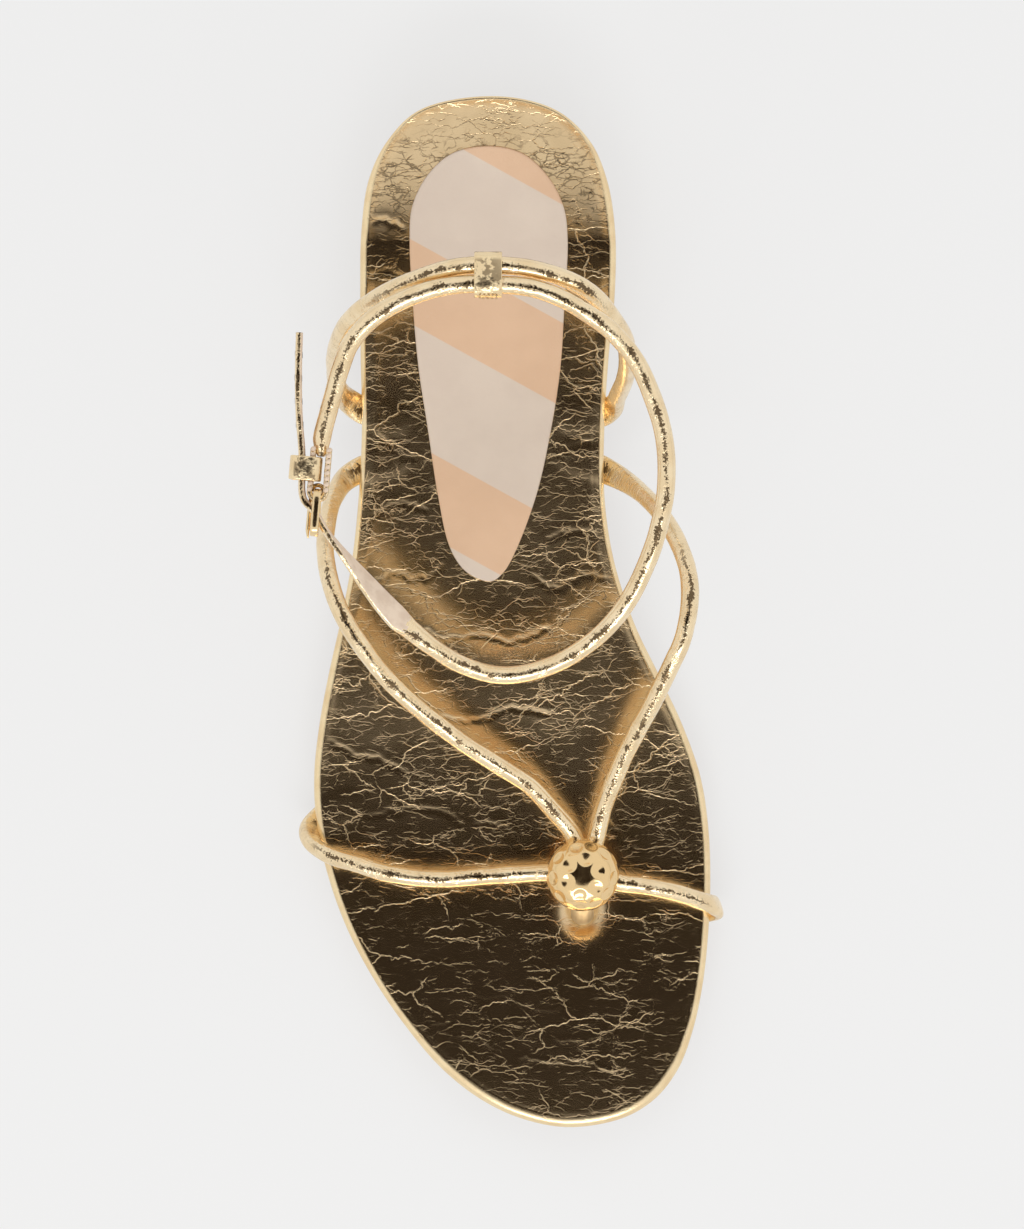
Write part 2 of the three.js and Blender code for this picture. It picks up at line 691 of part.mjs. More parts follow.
function bucklePin(extra) {
  return solidOf(sweep(lengthened(prongStations(), extra), extra));
}

function buckleProng() {
  const ring = new THREE.TorusGeometry(prongRing, prongRadius, 6, 14);
  const inward = buckleOutward.clone().negate();
  ring.applyMatrix4(buckleMatrix(buckleForward, inward, buckleUp, barPoint));
  return solidOf(ring).add(bucklePin(0));
}

// Ankle strap: the free end, the part through the buckle, the wrap and the tab

const overFold = foldOutside + GAP + STRIP_THICKNESS / 2;
const underFrame = BUCKLE_THICKNESS / 2 + GAP + STRIP_THICKNESS / 2;

function bucklePath() {
  const stray = STRIP_THICKNESS * 0.8;
  const rise = THREE.MathUtils.degToRad(38);
  return [
    { forward: -FREE_END_LENGTH, outward: overFold + stray },
    { forward: -0.72 * FREE_END_LENGTH, outward: overFold + stray },
    { forward: -0.46 * FREE_END_LENGTH, outward: overFold + 0.9 * stray },
    { forward: -TAB_LENGTH, outward: overFold + 0.7 * stray },
    { forward: -TAB_LENGTH / 2, outward: overFold + 0.35 * stray },
    { forward: 0, outward: overFold + 0.1 * stray },
    { forward: (overFold + GAP / 2) * Math.sin(rise), outward: (overFold + GAP / 2) * Math.cos(rise) },
    { forward: (windowStart + windowEnd) / 2 + GAP, outward: GAP / 2 },
    { forward: frameEnd - BUCKLE_WALL * 0.7, outward: -underFrame - STRIP_THICKNESS / 2 },
  ];
}

function ankleStations() {
  const path = bucklePath();
  const anchor = [
    { forward: -TAB_LENGTH * 0.93, flat: 0.6 },
    { forward: -keeperStart - TAIL_KEEPER_WIDTH - GAP, flat: 1 },
  ];
  const points = [
    ...path.map((row) => buckleSpace(row.forward, row.outward, 0)),
    ...ANKLE_WRAP.map((row) => routePoint(row, ANKLE_HEIGHT)),
    ...anchor.map((row) => buckleSpace(row.forward, 0, 0)),
  ];
  const rows = [
    ...path.map(() => ({ flat: 1, lean: 0 })),
    ...ANKLE_WRAP,
    ...anchor.map((row) => ({ flat: row.flat, lean: 0 })),
  ];
  const samples = sampleRoute(rows, points);
  uprightFrames(samples);
  shapeStations(samples, CORD_DIAMETER, STRIP_WIDTH, STRIP_THICKNESS);
  return samples;
}

const ankleCord = ankleStations();

function ankleSolid(extra) {
  return solidOf(sweep(lengthened(ankleCord, extra), extra));
}

function buckleTab() {
  const fold = new THREE.Shape();
  fold.moveTo(-TAB_LENGTH, -foldOutside);
  fold.lineTo(0, -foldOutside);
  fold.absarc(0, 0, foldOutside, -Math.PI / 2, Math.PI / 2);
  fold.lineTo(-TAB_LENGTH, foldOutside);
  fold.lineTo(-TAB_LENGTH, foldInside);
  fold.lineTo(0, foldInside);
  fold.absarc(0, 0, foldInside, Math.PI / 2, -Math.PI / 2, true);
  fold.lineTo(-TAB_LENGTH, -foldInside);
  const geometry = new THREE.ExtrudeGeometry(fold, { depth: STRIP_WIDTH, bevelEnabled: false, curveSegments: 12 });
  geometry.translate(0, 0, -STRIP_WIDTH / 2);
  const inward = buckleOutward.clone().negate();
  geometry.applyMatrix4(buckleMatrix(buckleForward, inward, buckleUp, barPoint));
  const slotHeight = PRONG_DIAMETER + 2 * GAP;
  const slot = new THREE.CylinderGeometry(foldOutside + GAP, foldOutside + GAP, slotHeight, 20);
  slot.rotateX(Math.PI / 2);
  slot.translate(barPoint.x, barPoint.y, barPoint.z);
  return solidOf(geometry).subtract(solidOf(slot));
}

// Keepers

function tailKeeper() {
  const wall = KEEPER_WALL;
  const inside = -wall / 2;
  const outside = overFold + STRIP_THICKNESS * 1.3 + KEEPER_SLACK + wall;
  const half = STRIP_WIDTH / 2 + KEEPER_SLACK + wall;
  const shape = roundedShape(inside, outside, -half, half, KEEPER_CORNER);
  shape.holes.push(roundedShape(inside + wall, outside - wall, wall - half, half - wall, KEEPER_CORNER - wall));
  const geometry = new THREE.ExtrudeGeometry(shape, {
    depth: TAIL_KEEPER_WIDTH,
    bevelEnabled: false,
    curveSegments: 2,
  });
  const backward = buckleForward.clone().negate();
  const start = buckleSpace(-keeperStart, 0, 0);
  return geometry.applyMatrix4(buckleMatrix(buckleOutward, buckleUp, backward, start));
}

// Where a cord passes the middle of the heel's back
function backOf(cord) {
  const behind = cord.filter((sample) => sample.centre.y < planPoint(ANKLE_MIDDLE.along, 0).y - CORD_DIAMETER);
  behind.sort((one, two) => Math.abs(one.centre.x) - Math.abs(two.centre.x));
  return behind[0].centre;
}

function racetrack(path, halfSpan, radius) {
  path.absarc(halfSpan, 0, radius, -Math.PI / 2, Math.PI / 2);
  path.absarc(-halfSpan, 0, radius, Math.PI / 2, 1.5 * Math.PI);
  path.closePath();
  return path;
}

function backKeeper() {
  const outerCord = backOf(slingCord);
  const innerCord = backOf(ankleCord);
  const middle = outerCord.clone().add(innerCord).multiplyScalar(0.5);
  const line = innerCord.clone().sub(outerCord).setX(0);
  const halfSpan = line.length() / 2;
  const xAxis = line.normalize();
  const zAxis = new THREE.Vector3(1, 0, 0);
  const yAxis = zAxis.clone().cross(xAxis);
  const inside = CORD_DIAMETER / 2 + GAP;
  const shape = racetrack(new THREE.Shape(), halfSpan, inside + BACK_KEEPER_WALL);
  shape.holes.push(racetrack(new THREE.Path(), halfSpan, inside));
  const geometry = new THREE.ExtrudeGeometry(shape, {
    depth: BACK_KEEPER_WIDTH,
    bevelEnabled: false,
    curveSegments: 8,
  });
  geometry.translate(0, 0, -BACK_KEEPER_WIDTH / 2);
  geometry.applyMatrix4(buckleMatrix(xAxis, yAxis, zAxis, middle));
  const cords = solidOf(sweep(slingCord, GAP)).add(solidOf(sweep(ankleCord, GAP)));
  return solidOf(geometry).subtract(cords);
}

// Ornament: a hammered dome that sits over the strap crossing, with one room for both instep cords

function instepRoom() {
  const reach = ORNAMENT_DIAMETER / 2 + CORD_DIAMETER;
  const ends = forefootCords.slice(1, 3).map((cord) => {
    const near = cord.filter((sample) => sample.centre.distanceTo(crossingPoint) < reach);
    return solidOf(sweep(near, GAP));
  });
  return wasm.Manifold.hull(ends);
}

function ornament() {
  const radius = ORNAMENT_DIAMETER / 2;
  const ball = tidyGeometry(new THREE.IcosahedronGeometry(radius, 4));
  const marks = [];
  for (let mark = 0; mark < HAMMER_MARKS; mark += 1) {
    const height = 1 - (2 * mark + 1) / HAMMER_MARKS;
    const turn = mark * Math.PI * (3 - Math.sqrt(5));
    const flat = Math.sqrt(1 - height * height);
    marks.push(new THREE.Vector3(flat * Math.cos(turn), flat * Math.sin(turn), height));
  }
  const reach = 2 / Math.sqrt(HAMMER_MARKS);
  const place = ball.attributes.position;
  const point = new THREE.Vector3();
  for (let index = 0; index < place.count; index += 1) {
    point.fromBufferAttribute(place, index).normalize();
    const nearest = Math.min(...marks.map((mark) => mark.angleTo(point)));
    const dent = HAMMER_DEPTH * Math.max(0, 1 - (nearest / reach) ** 2);
    point.multiplyScalar(radius - dent);
    place.setXYZ(index, point.x, point.y, point.z);
  }
  ball.translate(crossingPoint.x, crossingPoint.y, crossingPoint.z + ORNAMENT_CREST);
  const below = new THREE.BoxGeometry(3 * radius, 3 * radius, 2 * radius);
  below.translate(crossingPoint.x, crossingPoint.y, crossingPoint.z + ORNAMENT_SEAT - radius);
  return solidOf(ball).subtract(solidOf(below)).subtract(forefootSolid(GAP)).subtract(instepRoom());
}

// Sole pieces

function outsole() {
  const top = (x, y) => seamHeight(alongOf(y)) - GAP / 2;
  const bottom = (x, y) => undersideHeight(alongOf(y));
  const geometry = plate(soleOutline, [
    { inset: OUTSOLE_STEP + EDGE_CHAMFER, toSpine: 1, height: bottom },
    { inset: OUTSOLE_STEP + EDGE_CHAMFER, height: bottom },
    { inset: OUTSOLE_STEP, height: (x, y) => bottom(x, y) + EDGE_CHAMFER },
    { inset: OUTSOLE_STEP, height: top },
    { inset: OUTSOLE_STEP, toSpine: 1, height: top },
  ]);
  return solidOf(geometry).subtract(forefootSolid(GAP)).subtract(solidOf(sweep(lengthened(slingCord, GAP), GAP)));
}

function footbed() {
  const bottom = (x, y) => seamHeight(alongOf(y)) + GAP / 2;
  const radius = FOOTBED_EDGE_RADIUS;
  const edgeLayer = (degrees) => {
    const angle = THREE.MathUtils.degToRad(degrees);
    return {
      inset: radius * (1 - Math.cos(angle)),
      height: (x, y) => footbedTop(x, y) - radius * (1 - Math.sin(angle)),
    };
  };
  const geometry = plate(soleOutline, [
    { inset: EDGE_CHAMFER, toSpine: 1, height: bottom },
    { inset: EDGE_CHAMFER, height: bottom },
    { inset: 0, height: (x, y) => bottom(x, y) + EDGE_CHAMFER },
    edgeLayer(0),
    edgeLayer(50),
    edgeLayer(90),
    { inset: radius, toSpine: 0.3, height: footbedTop },
    { inset: radius, toSpine: 0.65, height: footbedTop },
    { inset: radius, toSpine: 1, height: footbedTop },
  ]);
  return solidOf(geometry).subtract(forefootSolid(GAP)).subtract(solidOf(sweep(lengthened(slingCord, GAP), GAP)));
}

function heelBlock(bottomHeight, topHeight, bottomInset, topInset) {
  const geometry = plate(soleOutline, [
    { inset: bottomInset, toSpine: 1, height: () => bottomHeight },
    { inset: bottomInset, height: () => bottomHeight },
    { inset: topInset, height: () => topHeight },
    { inset: topInset, toSpine: 1, height: () => topHeight },
  ]);
  const beyond = new THREE.BoxGeometry(2 * BALL_WIDTH, 2 * SOLE_LENGTH, 4 * HEEL_HEIGHT);
  beyond.translate(0, HEEL_LENGTH / 2 + SOLE_LENGTH, 0);
  return solidOf(geometry).subtract(solidOf(beyond));
}

function heelSock() {
  const under = (x, y) => footbedTop(x, y) + GAP;
  const over = (x, y) => under(x, y) + SOCK_THICKNESS;
  return plate(sockOutline, [
    { inset: 0, toSpine: 1, height: under },
    { inset: 0, toSpine: 0.5, height: under },
    { inset: 0, height: under },
    { inset: 0, height: (x, y) => under(x, y) + SOCK_THICKNESS / 2 },
    { inset: SOCK_THICKNESS / 2, height: over },
    { inset: SOCK_THICKNESS / 2, toSpine: 0.5, height: over },
    { inset: SOCK_THICKNESS / 2, toSpine: 1, height: over },
  ]);
}

// Materials

function paint(color, roughness, metalness) {
  return new THREE.MeshStandardMaterial({ color, roughness, metalness });
}

const goldLeather = paint(0xc9a878, 0.3, 0.8);
const goldCord = paint(0xd8c09a, 0.38, 0.7);
const goldMetal = paint(0xe0b878, 0.2, 1);
const soleRubber = paint(0xb08a60, 0.8, 0);
const liftRubber = paint(0x5a4634, 0.85, 0);
const sockLeather = paint(0xddccbc, 0.7, 0);

// Assembly

const sandal = new THREE.Group();

function addPiece(name, shape, material) {
  const geometry = shape.isBufferGeometry ? tidyGeometry(shape) : geometryOf(shape);
  const mesh = new THREE.Mesh(geometry, material);
  mesh.name = name;
  sandal.add(mesh);
}

const liftTopInset = OUTSOLE_STEP + HEEL_STEP + HEEL_TAPER * (1 - LIFT_THICKNESS / HEEL_HEIGHT);
const liftBottomInset = OUTSOLE_STEP + HEEL_STEP + HEEL_TAPER;

addPiece('outsole', outsole(), soleRubber);
addPiece('heel', heelBlock(LIFT_THICKNESS + GAP, HEEL_HEIGHT - GAP, liftTopInset, OUTSOLE_STEP + HEEL_STEP), goldLeather);
addPiece('heel_lift', heelBlock(0, LIFT_THICKNESS, liftBottomInset, liftTopInset), liftRubber);
addPiece('footbed', footbed(), goldLeather);
addPiece('heel_sock', heelSock(), sockLeather);
addPiece('forefoot_straps', forefootSolid(0), goldCord);
addPiece('ornament', ornament(), goldMetal);
addPiece('heel_sling', sweep(slingCord, 0), goldCord);
addPiece('ankle_strap', ankleSolid(0).add(buckleTab()).subtract(bucklePin(GAP)), goldCord);
addPiece('back_keeper', backKeeper(), goldLeather);
addPiece('tail_keeper', tailKeeper(), goldCord);
addPiece('buckle_frame', buckleFrame(), goldMetal);
addPiece('buckle_prong', buckleProng(), goldMetal);

export default sandal;
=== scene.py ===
# Flat gladiator sandal for the right foot, rolled gold leather cord over a leather-wrapped footbed.
# Sizes are in millimetres and tables in shares of them; a piece's mesh is turned to metres when it is made.
# +Z up, +Y toward the toe, +X toward the little toe.

import math

import bmesh
import bpy
import numpy as np
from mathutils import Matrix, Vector, noise


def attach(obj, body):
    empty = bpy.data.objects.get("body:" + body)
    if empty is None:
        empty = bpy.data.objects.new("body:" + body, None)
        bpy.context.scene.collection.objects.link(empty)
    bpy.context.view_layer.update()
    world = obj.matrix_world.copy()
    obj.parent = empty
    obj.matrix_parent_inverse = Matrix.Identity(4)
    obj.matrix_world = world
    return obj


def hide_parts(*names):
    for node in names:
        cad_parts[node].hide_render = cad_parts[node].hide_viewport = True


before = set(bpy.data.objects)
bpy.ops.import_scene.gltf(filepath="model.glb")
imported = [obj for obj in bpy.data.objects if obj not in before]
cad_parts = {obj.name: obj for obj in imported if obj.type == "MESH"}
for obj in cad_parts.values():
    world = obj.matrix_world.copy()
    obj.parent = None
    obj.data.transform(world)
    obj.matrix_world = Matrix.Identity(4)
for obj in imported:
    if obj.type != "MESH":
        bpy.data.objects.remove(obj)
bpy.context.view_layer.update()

# Sole
SOLE_LENGTH = 245
BALL_WIDTH = 94.4
OUTSOLE_THICKNESS = 3
OUTSOLE_STEP = 0.7
FOOTBED_THICKNESS = 4.6
FOOTBED_EDGE_RADIUS = 1.9
HEEL_HEIGHT = 8
HEEL_LENGTH = 60
HEEL_STEP = 1
HEEL_TAPER = 1.2
LIFT_THICKNESS = 3
TOE_SPRING = 6
HEEL_CUP = 5.6
CUP_LENGTH = 34
CUP_CURVE = 1.25
HEEL_EDGE_RADIUS = 0.8
WAIST_EDGE_RADIUS = 1.4
TOE_EDGE_RADIUS = 2.8
RIM_RISE = 0.4
RIM_REACH = 4
DIMPLE_DEPTH = 1.35
DIMPLE_REACH = 4.9
RIDGE_RISE = 0.045
RIDGE_INSET = 2.5
CREASE_DEPTH = 0.065
CREASE_WIDTH = 0.42
SOCK_THICKNESS = 0.8
EDGE_CHAMFER = 0.7
SEAT_END = 0.22
BALL_START = 0.66
BALL_END = 0.74
TOP_SEAT_END = 0.12
TOP_BALL_START = 0.74

# Cords and straps
CORD_DIAMETER = 4.2
POST_DIAMETER = 5.4
POST_FLARE = 1.2
LASTED_WIDTH = 6.5
LASTED_THICKNESS = 1.8
STRIP_WIDTH = 6
STRIP_THICKNESS = 1.6
ANKLE_HEIGHT = 86
INSTEP_HEIGHT = 48
TOE_STRAP_HEIGHT = 21.8
FREE_END_LENGTH = 36
FREE_END_STRAY = 0.8
LINED_FLATNESS = 0.62
LINING_FRAY = 0.3

# Buckle, tab, keepers and ornament
BUCKLE_LENGTH = 11
BUCKLE_HEIGHT = 11
BUCKLE_THICKNESS = 1.8
BUCKLE_WALL = 1.8
BUCKLE_CORNER = 1.4
BUCKLE_YAW = 5
BAR_WIDTH = 1.4
PRONG_DIAMETER = 1
TAB_LEATHER = 1.3
TAB_LENGTH = 9.7
KEEPER_WALL = 0.9
KEEPER_SLACK = 0.4
TAIL_KEEPER_WIDTH = 5.6
BACK_KEEPER_WIDTH = 6.4
BACK_KEEPER_WALL = 0.7
ORNAMENT_DIAMETER = 17.2
ORNAMENT_CREST = 1.8
ORNAMENT_SEAT = 0.2
HAMMER_MARK = 3.4
HAMMER_DEPTH = 0.52
ORNAMENT_TALLNESS = 0.94
ORNAMENT_FULLNESS = 2.7
GAP = 0.3

# Fineness of the visible surfaces
OUTLINE_STEPS = 24
ROUTE_STEPS = 14
CORD_SIDES = 28
STRIP_SIDES = 32

# Sole outline: along the sole from the heel, lateral side, medial side
SOLE_HEEL = (0, -0.015)
SOLE_TOE = (1, -0.2)
SOLE_SIDES = (
    (0.013, 0.174, -0.166), (0.043, 0.257, -0.253), (0.08, 0.304, -0.296), (0.13, 0.323, -0.317),
    (0.19, 0.326, -0.316), (0.25, 0.325, -0.301), (0.32, 0.322, -0.29), (0.39, 0.331, -0.291),
    (0.45, 0.348, -0.315), (0.51, 0.378, -0.366), (0.56, 0.407, -0.428), (0.61, 0.431, -0.489),
    (0.66, 0.444, -0.534), (0.71, 0.436, -0.554), (0.76, 0.406, -0.559), (0.81, 0.358, -0.554),
    (0.86, 0.288, -0.54), (0.905, 0.207, -0.515), (0.943, 0.122, -0.478), (0.972, 0.027, -0.42),
    (0.991, -0.076, -0.338),
)
SOLE_CAP_ROWS = 3

# Heel sock outline, in the same columns
SOCK_HEEL = (0.048, 0.002)
SOCK_TOE = (0.469, -0.004)
SOCK_SIDES = (
    (0.055, 0.094, -0.083), (0.077, 0.158, -0.147), (0.107, 0.195, -0.187), (0.138, 0.201, -0.197),
    (0.199, 0.193, -0.189), (0.261, 0.179, -0.179), (0.322, 0.155, -0.155), (0.383, 0.131, -0.12),
    (0.437, 0.099, -0.069), (0.46, 0.058, -0.036),
)
SOCK_CAP_ROWS = 2

# Strap routes: along, out, up (share of the way from the sole's seam to the strap's height), flat
CROSSING = (0.753, -0.234, 0.957, 0)
TOE_STRAP = (
    (0.688, 0.373, 0, 1), (0.699, 0.419, 0, 1), (0.711, 0.451, 0.13, 0.7), (0.723, 0.449, 0.4, 0.3),
    (0.734, 0.408, 0.64, 0), (0.743, 0.335, 0.823, 0), (0.753, 0.239, 0.93, 0), (0.757, 0.113, 0.984, 0),
    (0.754, 0, 1, 0), (0.751, -0.143, 0.984, 0), CROSSING, (0.761, -0.326, 0.941, 0),
    (0.764, -0.388, 0.903, 0), (0.769, -0.453, 0.833, 0), (0.776, -0.51, 0.686, 0),
    (0.783, -0.556, 0.468, 0.3), (0.787, -0.573, 0.168, 0.7), (0.789, -0.545, 0, 1), (0.789, -0.49, 0, 1),
)
LATERAL_INSTEP = (
    (0.355, 0.265, 0, 1), (0.36, 0.32, 0, 1), (0.37, 0.363, 0.072, 0.6), (0.39, 0.392, 0.292, 0.1),
    (0.415, 0.406, 0.532, 0), (0.441, 0.408, 0.713, 0), (0.466, 0.397, 0.836, 0), (0.499, 0.367, 0.92, 0),
    (0.534, 0.311, 0.933, 0), (0.569, 0.237, 0.889, 0), (0.6, 0.148, 0.81, 0), (0.627, 0.055, 0.721, 0),
    (0.65, -0.038, 0.632, 0), (0.668, -0.106, 0.565, 0), (0.69, -0.158, 0.498, 0),
    (0.712, -0.206, 0.443, 0), (0.733, -0.226, 0.414, 0),
)
MEDIAL_INSTEP = (
    (0.352, -0.235, 0, 1), (0.36, -0.284, 0, 1), (0.369, -0.329, 0.097, 0.6), (0.384, -0.381, 0.314, 0.1),
    (0.406, -0.431, 0.553, 0), (0.434, -0.471, 0.759, 0), (0.463, -0.494, 0.906, 0),
    (0.491, -0.496, 0.989, 0), (0.523, -0.48, 1, 0), (0.553, -0.447, 0.933, 0), (0.582, -0.411, 0.844, 0),
    (0.609, -0.374, 0.755, 0), (0.638, -0.337, 0.654, 0), (0.668, -0.304, 0.565, 0),
    (0.69, -0.284, 0.498, 0), (0.712, -0.271, 0.443, 0), (0.733, -0.256, 0.414, 0),
)
TOE_POST = (
    CROSSING, (0.767, -0.234, 0.8, 0), (0.783, -0.235, 0.53, 0), (0.793, -0.235, 0.2, 0),
    (0.796, -0.235, 0.03, 0),
)

# Heel sling, with a fifth column: how many cord pitches a row stands outside the ankle strap
HEEL_SLING = (
    (0.309, 0.265, 0, 1, 0), (0.303, 0.318, 0, 1, 0), (0.294, 0.355, 0.035, 0.7, 0),
    (0.283, 0.378, 0.158, 0.1, 0), (0.264, 0.384, 0.345, 0, 0), (0.245, 0.374, 0.532, 0, 0),
    (0.225, 0.344, 0.699, 0, 0), (0.212, 0.277, 0.826, 0, 0.3), (0.204, 0.203, 0.906, 0, 0.6),
    (0.2, 0.126, 0.953, 0, 0.95), (0.195, 0.062, 0.973, 0, 1), (0.194, -0.017, 0.98, 0, 1),
    (0.197, -0.094, 0.973, 0, 1), (0.203, -0.167, 0.953, 0, 0.9), (0.211, -0.237, 0.906, 0, 0.6),
    (0.225, -0.288, 0.82, 0, 0.3), (0.239, -0.331, 0.693, 0, 0), (0.258, -0.342, 0.532, 0, 0),
    (0.276, -0.337, 0.345, 0, 0), (0.29, -0.322, 0.159, 0.1, 0), (0.3, -0.31, 0.035, 0.7, 0),
    (0.306, -0.282, 0, 1, 0), (0.308, -0.23, 0, 1, 0),
)

# Ankle strap, with a fifth column: how far the strip's upper edge tips outward, in degrees
ANKLE_WRAP = (
    (0.441, 0.361, 0.879, 1, 8), (0.463, 0.316, 0.864, 1, 25), (0.487, 0.265, 0.847, 1, 45),
    (0.505, 0.222, 0.826, 1, 60), (0.515, 0.194, 0.806, 0.3, 60), (0.533, 0.134, 0.77, 0, 60),
    (0.549, 0.064, 0.728, 0, 60), (0.558, -0.013, 0.71, 0, 60), (0.557, -0.086, 0.71, 0, 60),
    (0.548, -0.163, 0.722, 0, 60), (0.531, -0.237, 0.746, 0, 60), (0.508, -0.303, 0.775, 0, 60),
    (0.482, -0.35, 0.803, 0, 60), (0.451, -0.388, 0.838, 0, 60), (0.417, -0.416, 0.867, 0, 60),
    (0.382, -0.431, 0.89, 0, 60), (0.353, -0.431, 0.905, 0, 60), (0.326, -0.421, 0.92, 0, 60),
    (0.298, -0.397, 0.937, 0, 60), (0.273, -0.37, 0.951, 0, 60), (0.254, -0.337, 0.963, 0, 60),
    (0.237, -0.297, 0.973, 0, 60), (0.222, -0.245, 0.983, 0, 60), (0.208, -0.184, 0.991, 0, 60),
    (0.197, -0.104, 0.997, 0, 60), (0.194, -0.017, 1, 0, 60), (0.194, 0.07, 0.997, 0, 60),
    (0.199, 0.143, 0.991, 0, 60), (0.21, 0.216, 0.983, 0, 60), (0.226, 0.283, 0.967, 0, 60),
    (0.248, 0.333, 0.949, 0, 60), (0.27, 0.358, 0.936, 0, 50), (0.295, 0.377, 0.923, 0, 30),
    (0.319, 0.394, 0.91, 0, 10), (0.337, 0.405, 0.899, 0, 0),
)
BUCKLE_BAR = (0.3865, 0.4153, 0.883)
ANKLE_MIDDLE = (0.36, 0)

# Lasted strap ends that lift the footbed's leather: edge point, inner point, rise
STRAP_LUMPS = (
    ((0.7, 0.44), (0.688, 0.36), 0.08), ((0.789, -0.56), (0.789, -0.48), 0.08),
    ((0.358, 0.32), (0.351, 0.24), 0.08), ((0.358, -0.29), (0.349, -0.21), 0.08),
    ((0.303, 0.32), (0.312, 0.24), 0.08), ((0.306, -0.29), (0.31, -0.205), 0.08),
)

# Main creases of the footbed's leather, each a chain of places: along, out
FOOTBED_CREASES = (
    ((0.625, 0.4), (0.64, 0.33), (0.642, 0.28), (0.656, 0.213)),
    ((0.697, 0.3), (0.692, 0.2), (0.694, 0.12), (0.706, 0.075)),
    ((0.707, 0.035), (0.705, -0.015), (0.72, -0.06)),
    ((0.824, 0.28), (0.812, 0.23), (0.8, 0.155)),
    ((0.852, 0.165), (0.845, 0.105), (0.838, 0.03), (0.845, -0.02), (0.84, -0.06)),
    ((0.869, 0.045), (0.874, -0.06), (0.884, -0.12), (0.885, -0.175)),
    ((0.914, -0.06), (0.897, -0.115)),
    ((0.93, -0.08), (0.936, -0.15), (0.934, -0.21), (0.943, -0.32)),
    ((0.914, -0.17), (0.915, -0.23), (0.907, -0.28), (0.899, -0.33)),
    ((0.81, -0.13), (0.824, -0.095), (0.838, -0.065)),
    ((0.699, -0.285), (0.719, -0.335), (0.733, -0.38)),
    ((0.9, 0.17), (0.899, 0.125), (0.892, 0.1)),
    ((0.878, 0.06), (0.913, 0.02), (0.922, -0.005)),
    ((0.51, 0.2), (0.525, 0.11), (0.52, 0.02), (0.528, -0.06), (0.515, -0.15)),
    ((0.6, 0.12), (0.605, 0.03), (0.593, -0.06), (0.6, -0.15)),
    ((0.33, 0.28), (0.345, 0.22), (0.35, 0.19)),
    ((0.335, -0.26), (0.34, -0.2), (0.345, -0.18)),
    ((0.405, 0.29), (0.395, 0.22), (0.4, 0.16)),
    ((0.425, -0.28), (0.42, -0.22), (0.43, -0.15)),
    ((0.475, 0.31), (0.462, 0.24), (0.468, 0.17), (0.455, 0.12)),
    ((0.47, -0.31), (0.463, -0.24), (0.476, -0.17), (0.466, -0.11)),
    ((0.125, 0.31), (0.118, 0.27), (0.126, 0.22)),
    ((0.152, -0.3), (0.148, -0.25), (0.156, -0.21)),
    ((0.175, 0.31), (0.168, 0.26), (0.176, 0.21)),
    ((0.2, -0.3), (0.206, -0.25), (0.2, -0.2)),
)

# Rings of hammer marks on the ornament: degrees from its top, how many, first mark's turn
HAMMER_RINGS = ((27, 6, 20), (52, 10, 5), (80, 13, 12))


# Blends

def mix(start, end, share):
    return start + (end - start) * share


def smooth_step(start, end, value):
    share = np.clip((value - start) / (end - start), 0, 1)
    return share * share * (3 - 2 * share)


def signed_power(value, exponent):
    return math.copysign(abs(value) ** exponent, value)


def unit(vector):
    return vector / np.linalg.norm(vector)


# Heights of the sole

def along_of(y):
    return (y + HEEL_LENGTH / 2) / SOLE_LENGTH


def underside_height(along):
    arch = HEEL_HEIGHT * (1 - smooth_step(SEAT_END, BALL_START, along))
    spring = TOE_SPRING * (np.maximum(0, along - BALL_END) / (1 - BALL_END)) ** 2
    return arch + spring


def seam_height(along):
    return underside_height(along) + OUTSOLE_THICKNESS + GAP / 2


def even_ramp(start, end, value, soft=0.2):
    """A ramp of even slope between its two soft ends."""
    share = np.clip((value - start) / (end - start), 0, 1)
    low = share ** 2 / (2 * soft)
    high = (1 - soft) - (1 - share) ** 2 / (2 * soft)
    middle = share - soft / 2
    return np.where(share < soft, low, np.where(share > 1 - soft, high, middle)) / (1 - soft)


def waist_share(along):
    return smooth_step(0.16, 0.24, along) * (1 - smooth_step(0.46, 0.56, along))


def cup_rise(y):
    behind = np.clip(1 - (y + HEEL_LENGTH / 2) / CUP_LENGTH, 0, 1)
    return HEEL_CUP * behind ** CUP_CURVE


# Curves

def plan_point(along, out):
    return np.array((out * BALL_WIDTH, along * SOLE_LENGTH - HEEL_LENGTH / 2, 0.0))


def centripetal(points, steps, closed):
    """Points and tangents of a centripetal spline through the given points."""
    points = np.asarray(points, float)
    if closed:
        padded = np.vstack((points[-1], points, points[:2]))
    else:
        padded = np.vstack((2 * points[0] - points[1], points, 2 * points[-1] - points[-2]))
    places, tangents = [], []
    spans = len(points) if closed else len(points) - 1
    for span in range(spans):
        before, start, end, after = padded[span:span + 4]
        hops = ((before, start), (start, end), (end, after))
        gaps = [max(1e-6, np.linalg.norm(far - near)) ** 0.5 for near, far in hops]
        leave = (start - before) / gaps[0] - (end - before) / (gaps[0] + gaps[1]) + (end - start) / gaps[1]
        reach = (end - start) / gaps[1] - (after - start) / (gaps[1] + gaps[2]) + (after - end) / gaps[2]
        leave, reach = leave * gaps[1], reach * gaps[1]
        bend = -3 * start + 3 * end - 2 * leave - reach
        twist = 2 * start - 2 * end + leave + reach
        shares = [step / steps for step in range(steps)]
        if not closed and span == spans - 1:
            shares.append(1.0)
        for t in shares:
            places.append(start + leave * t + bend * t * t + twist * t ** 3)
            tangents.append(unit(leave + 2 * bend * t + 3 * twist * t * t))
    return np.array(places), np.array(tangents)


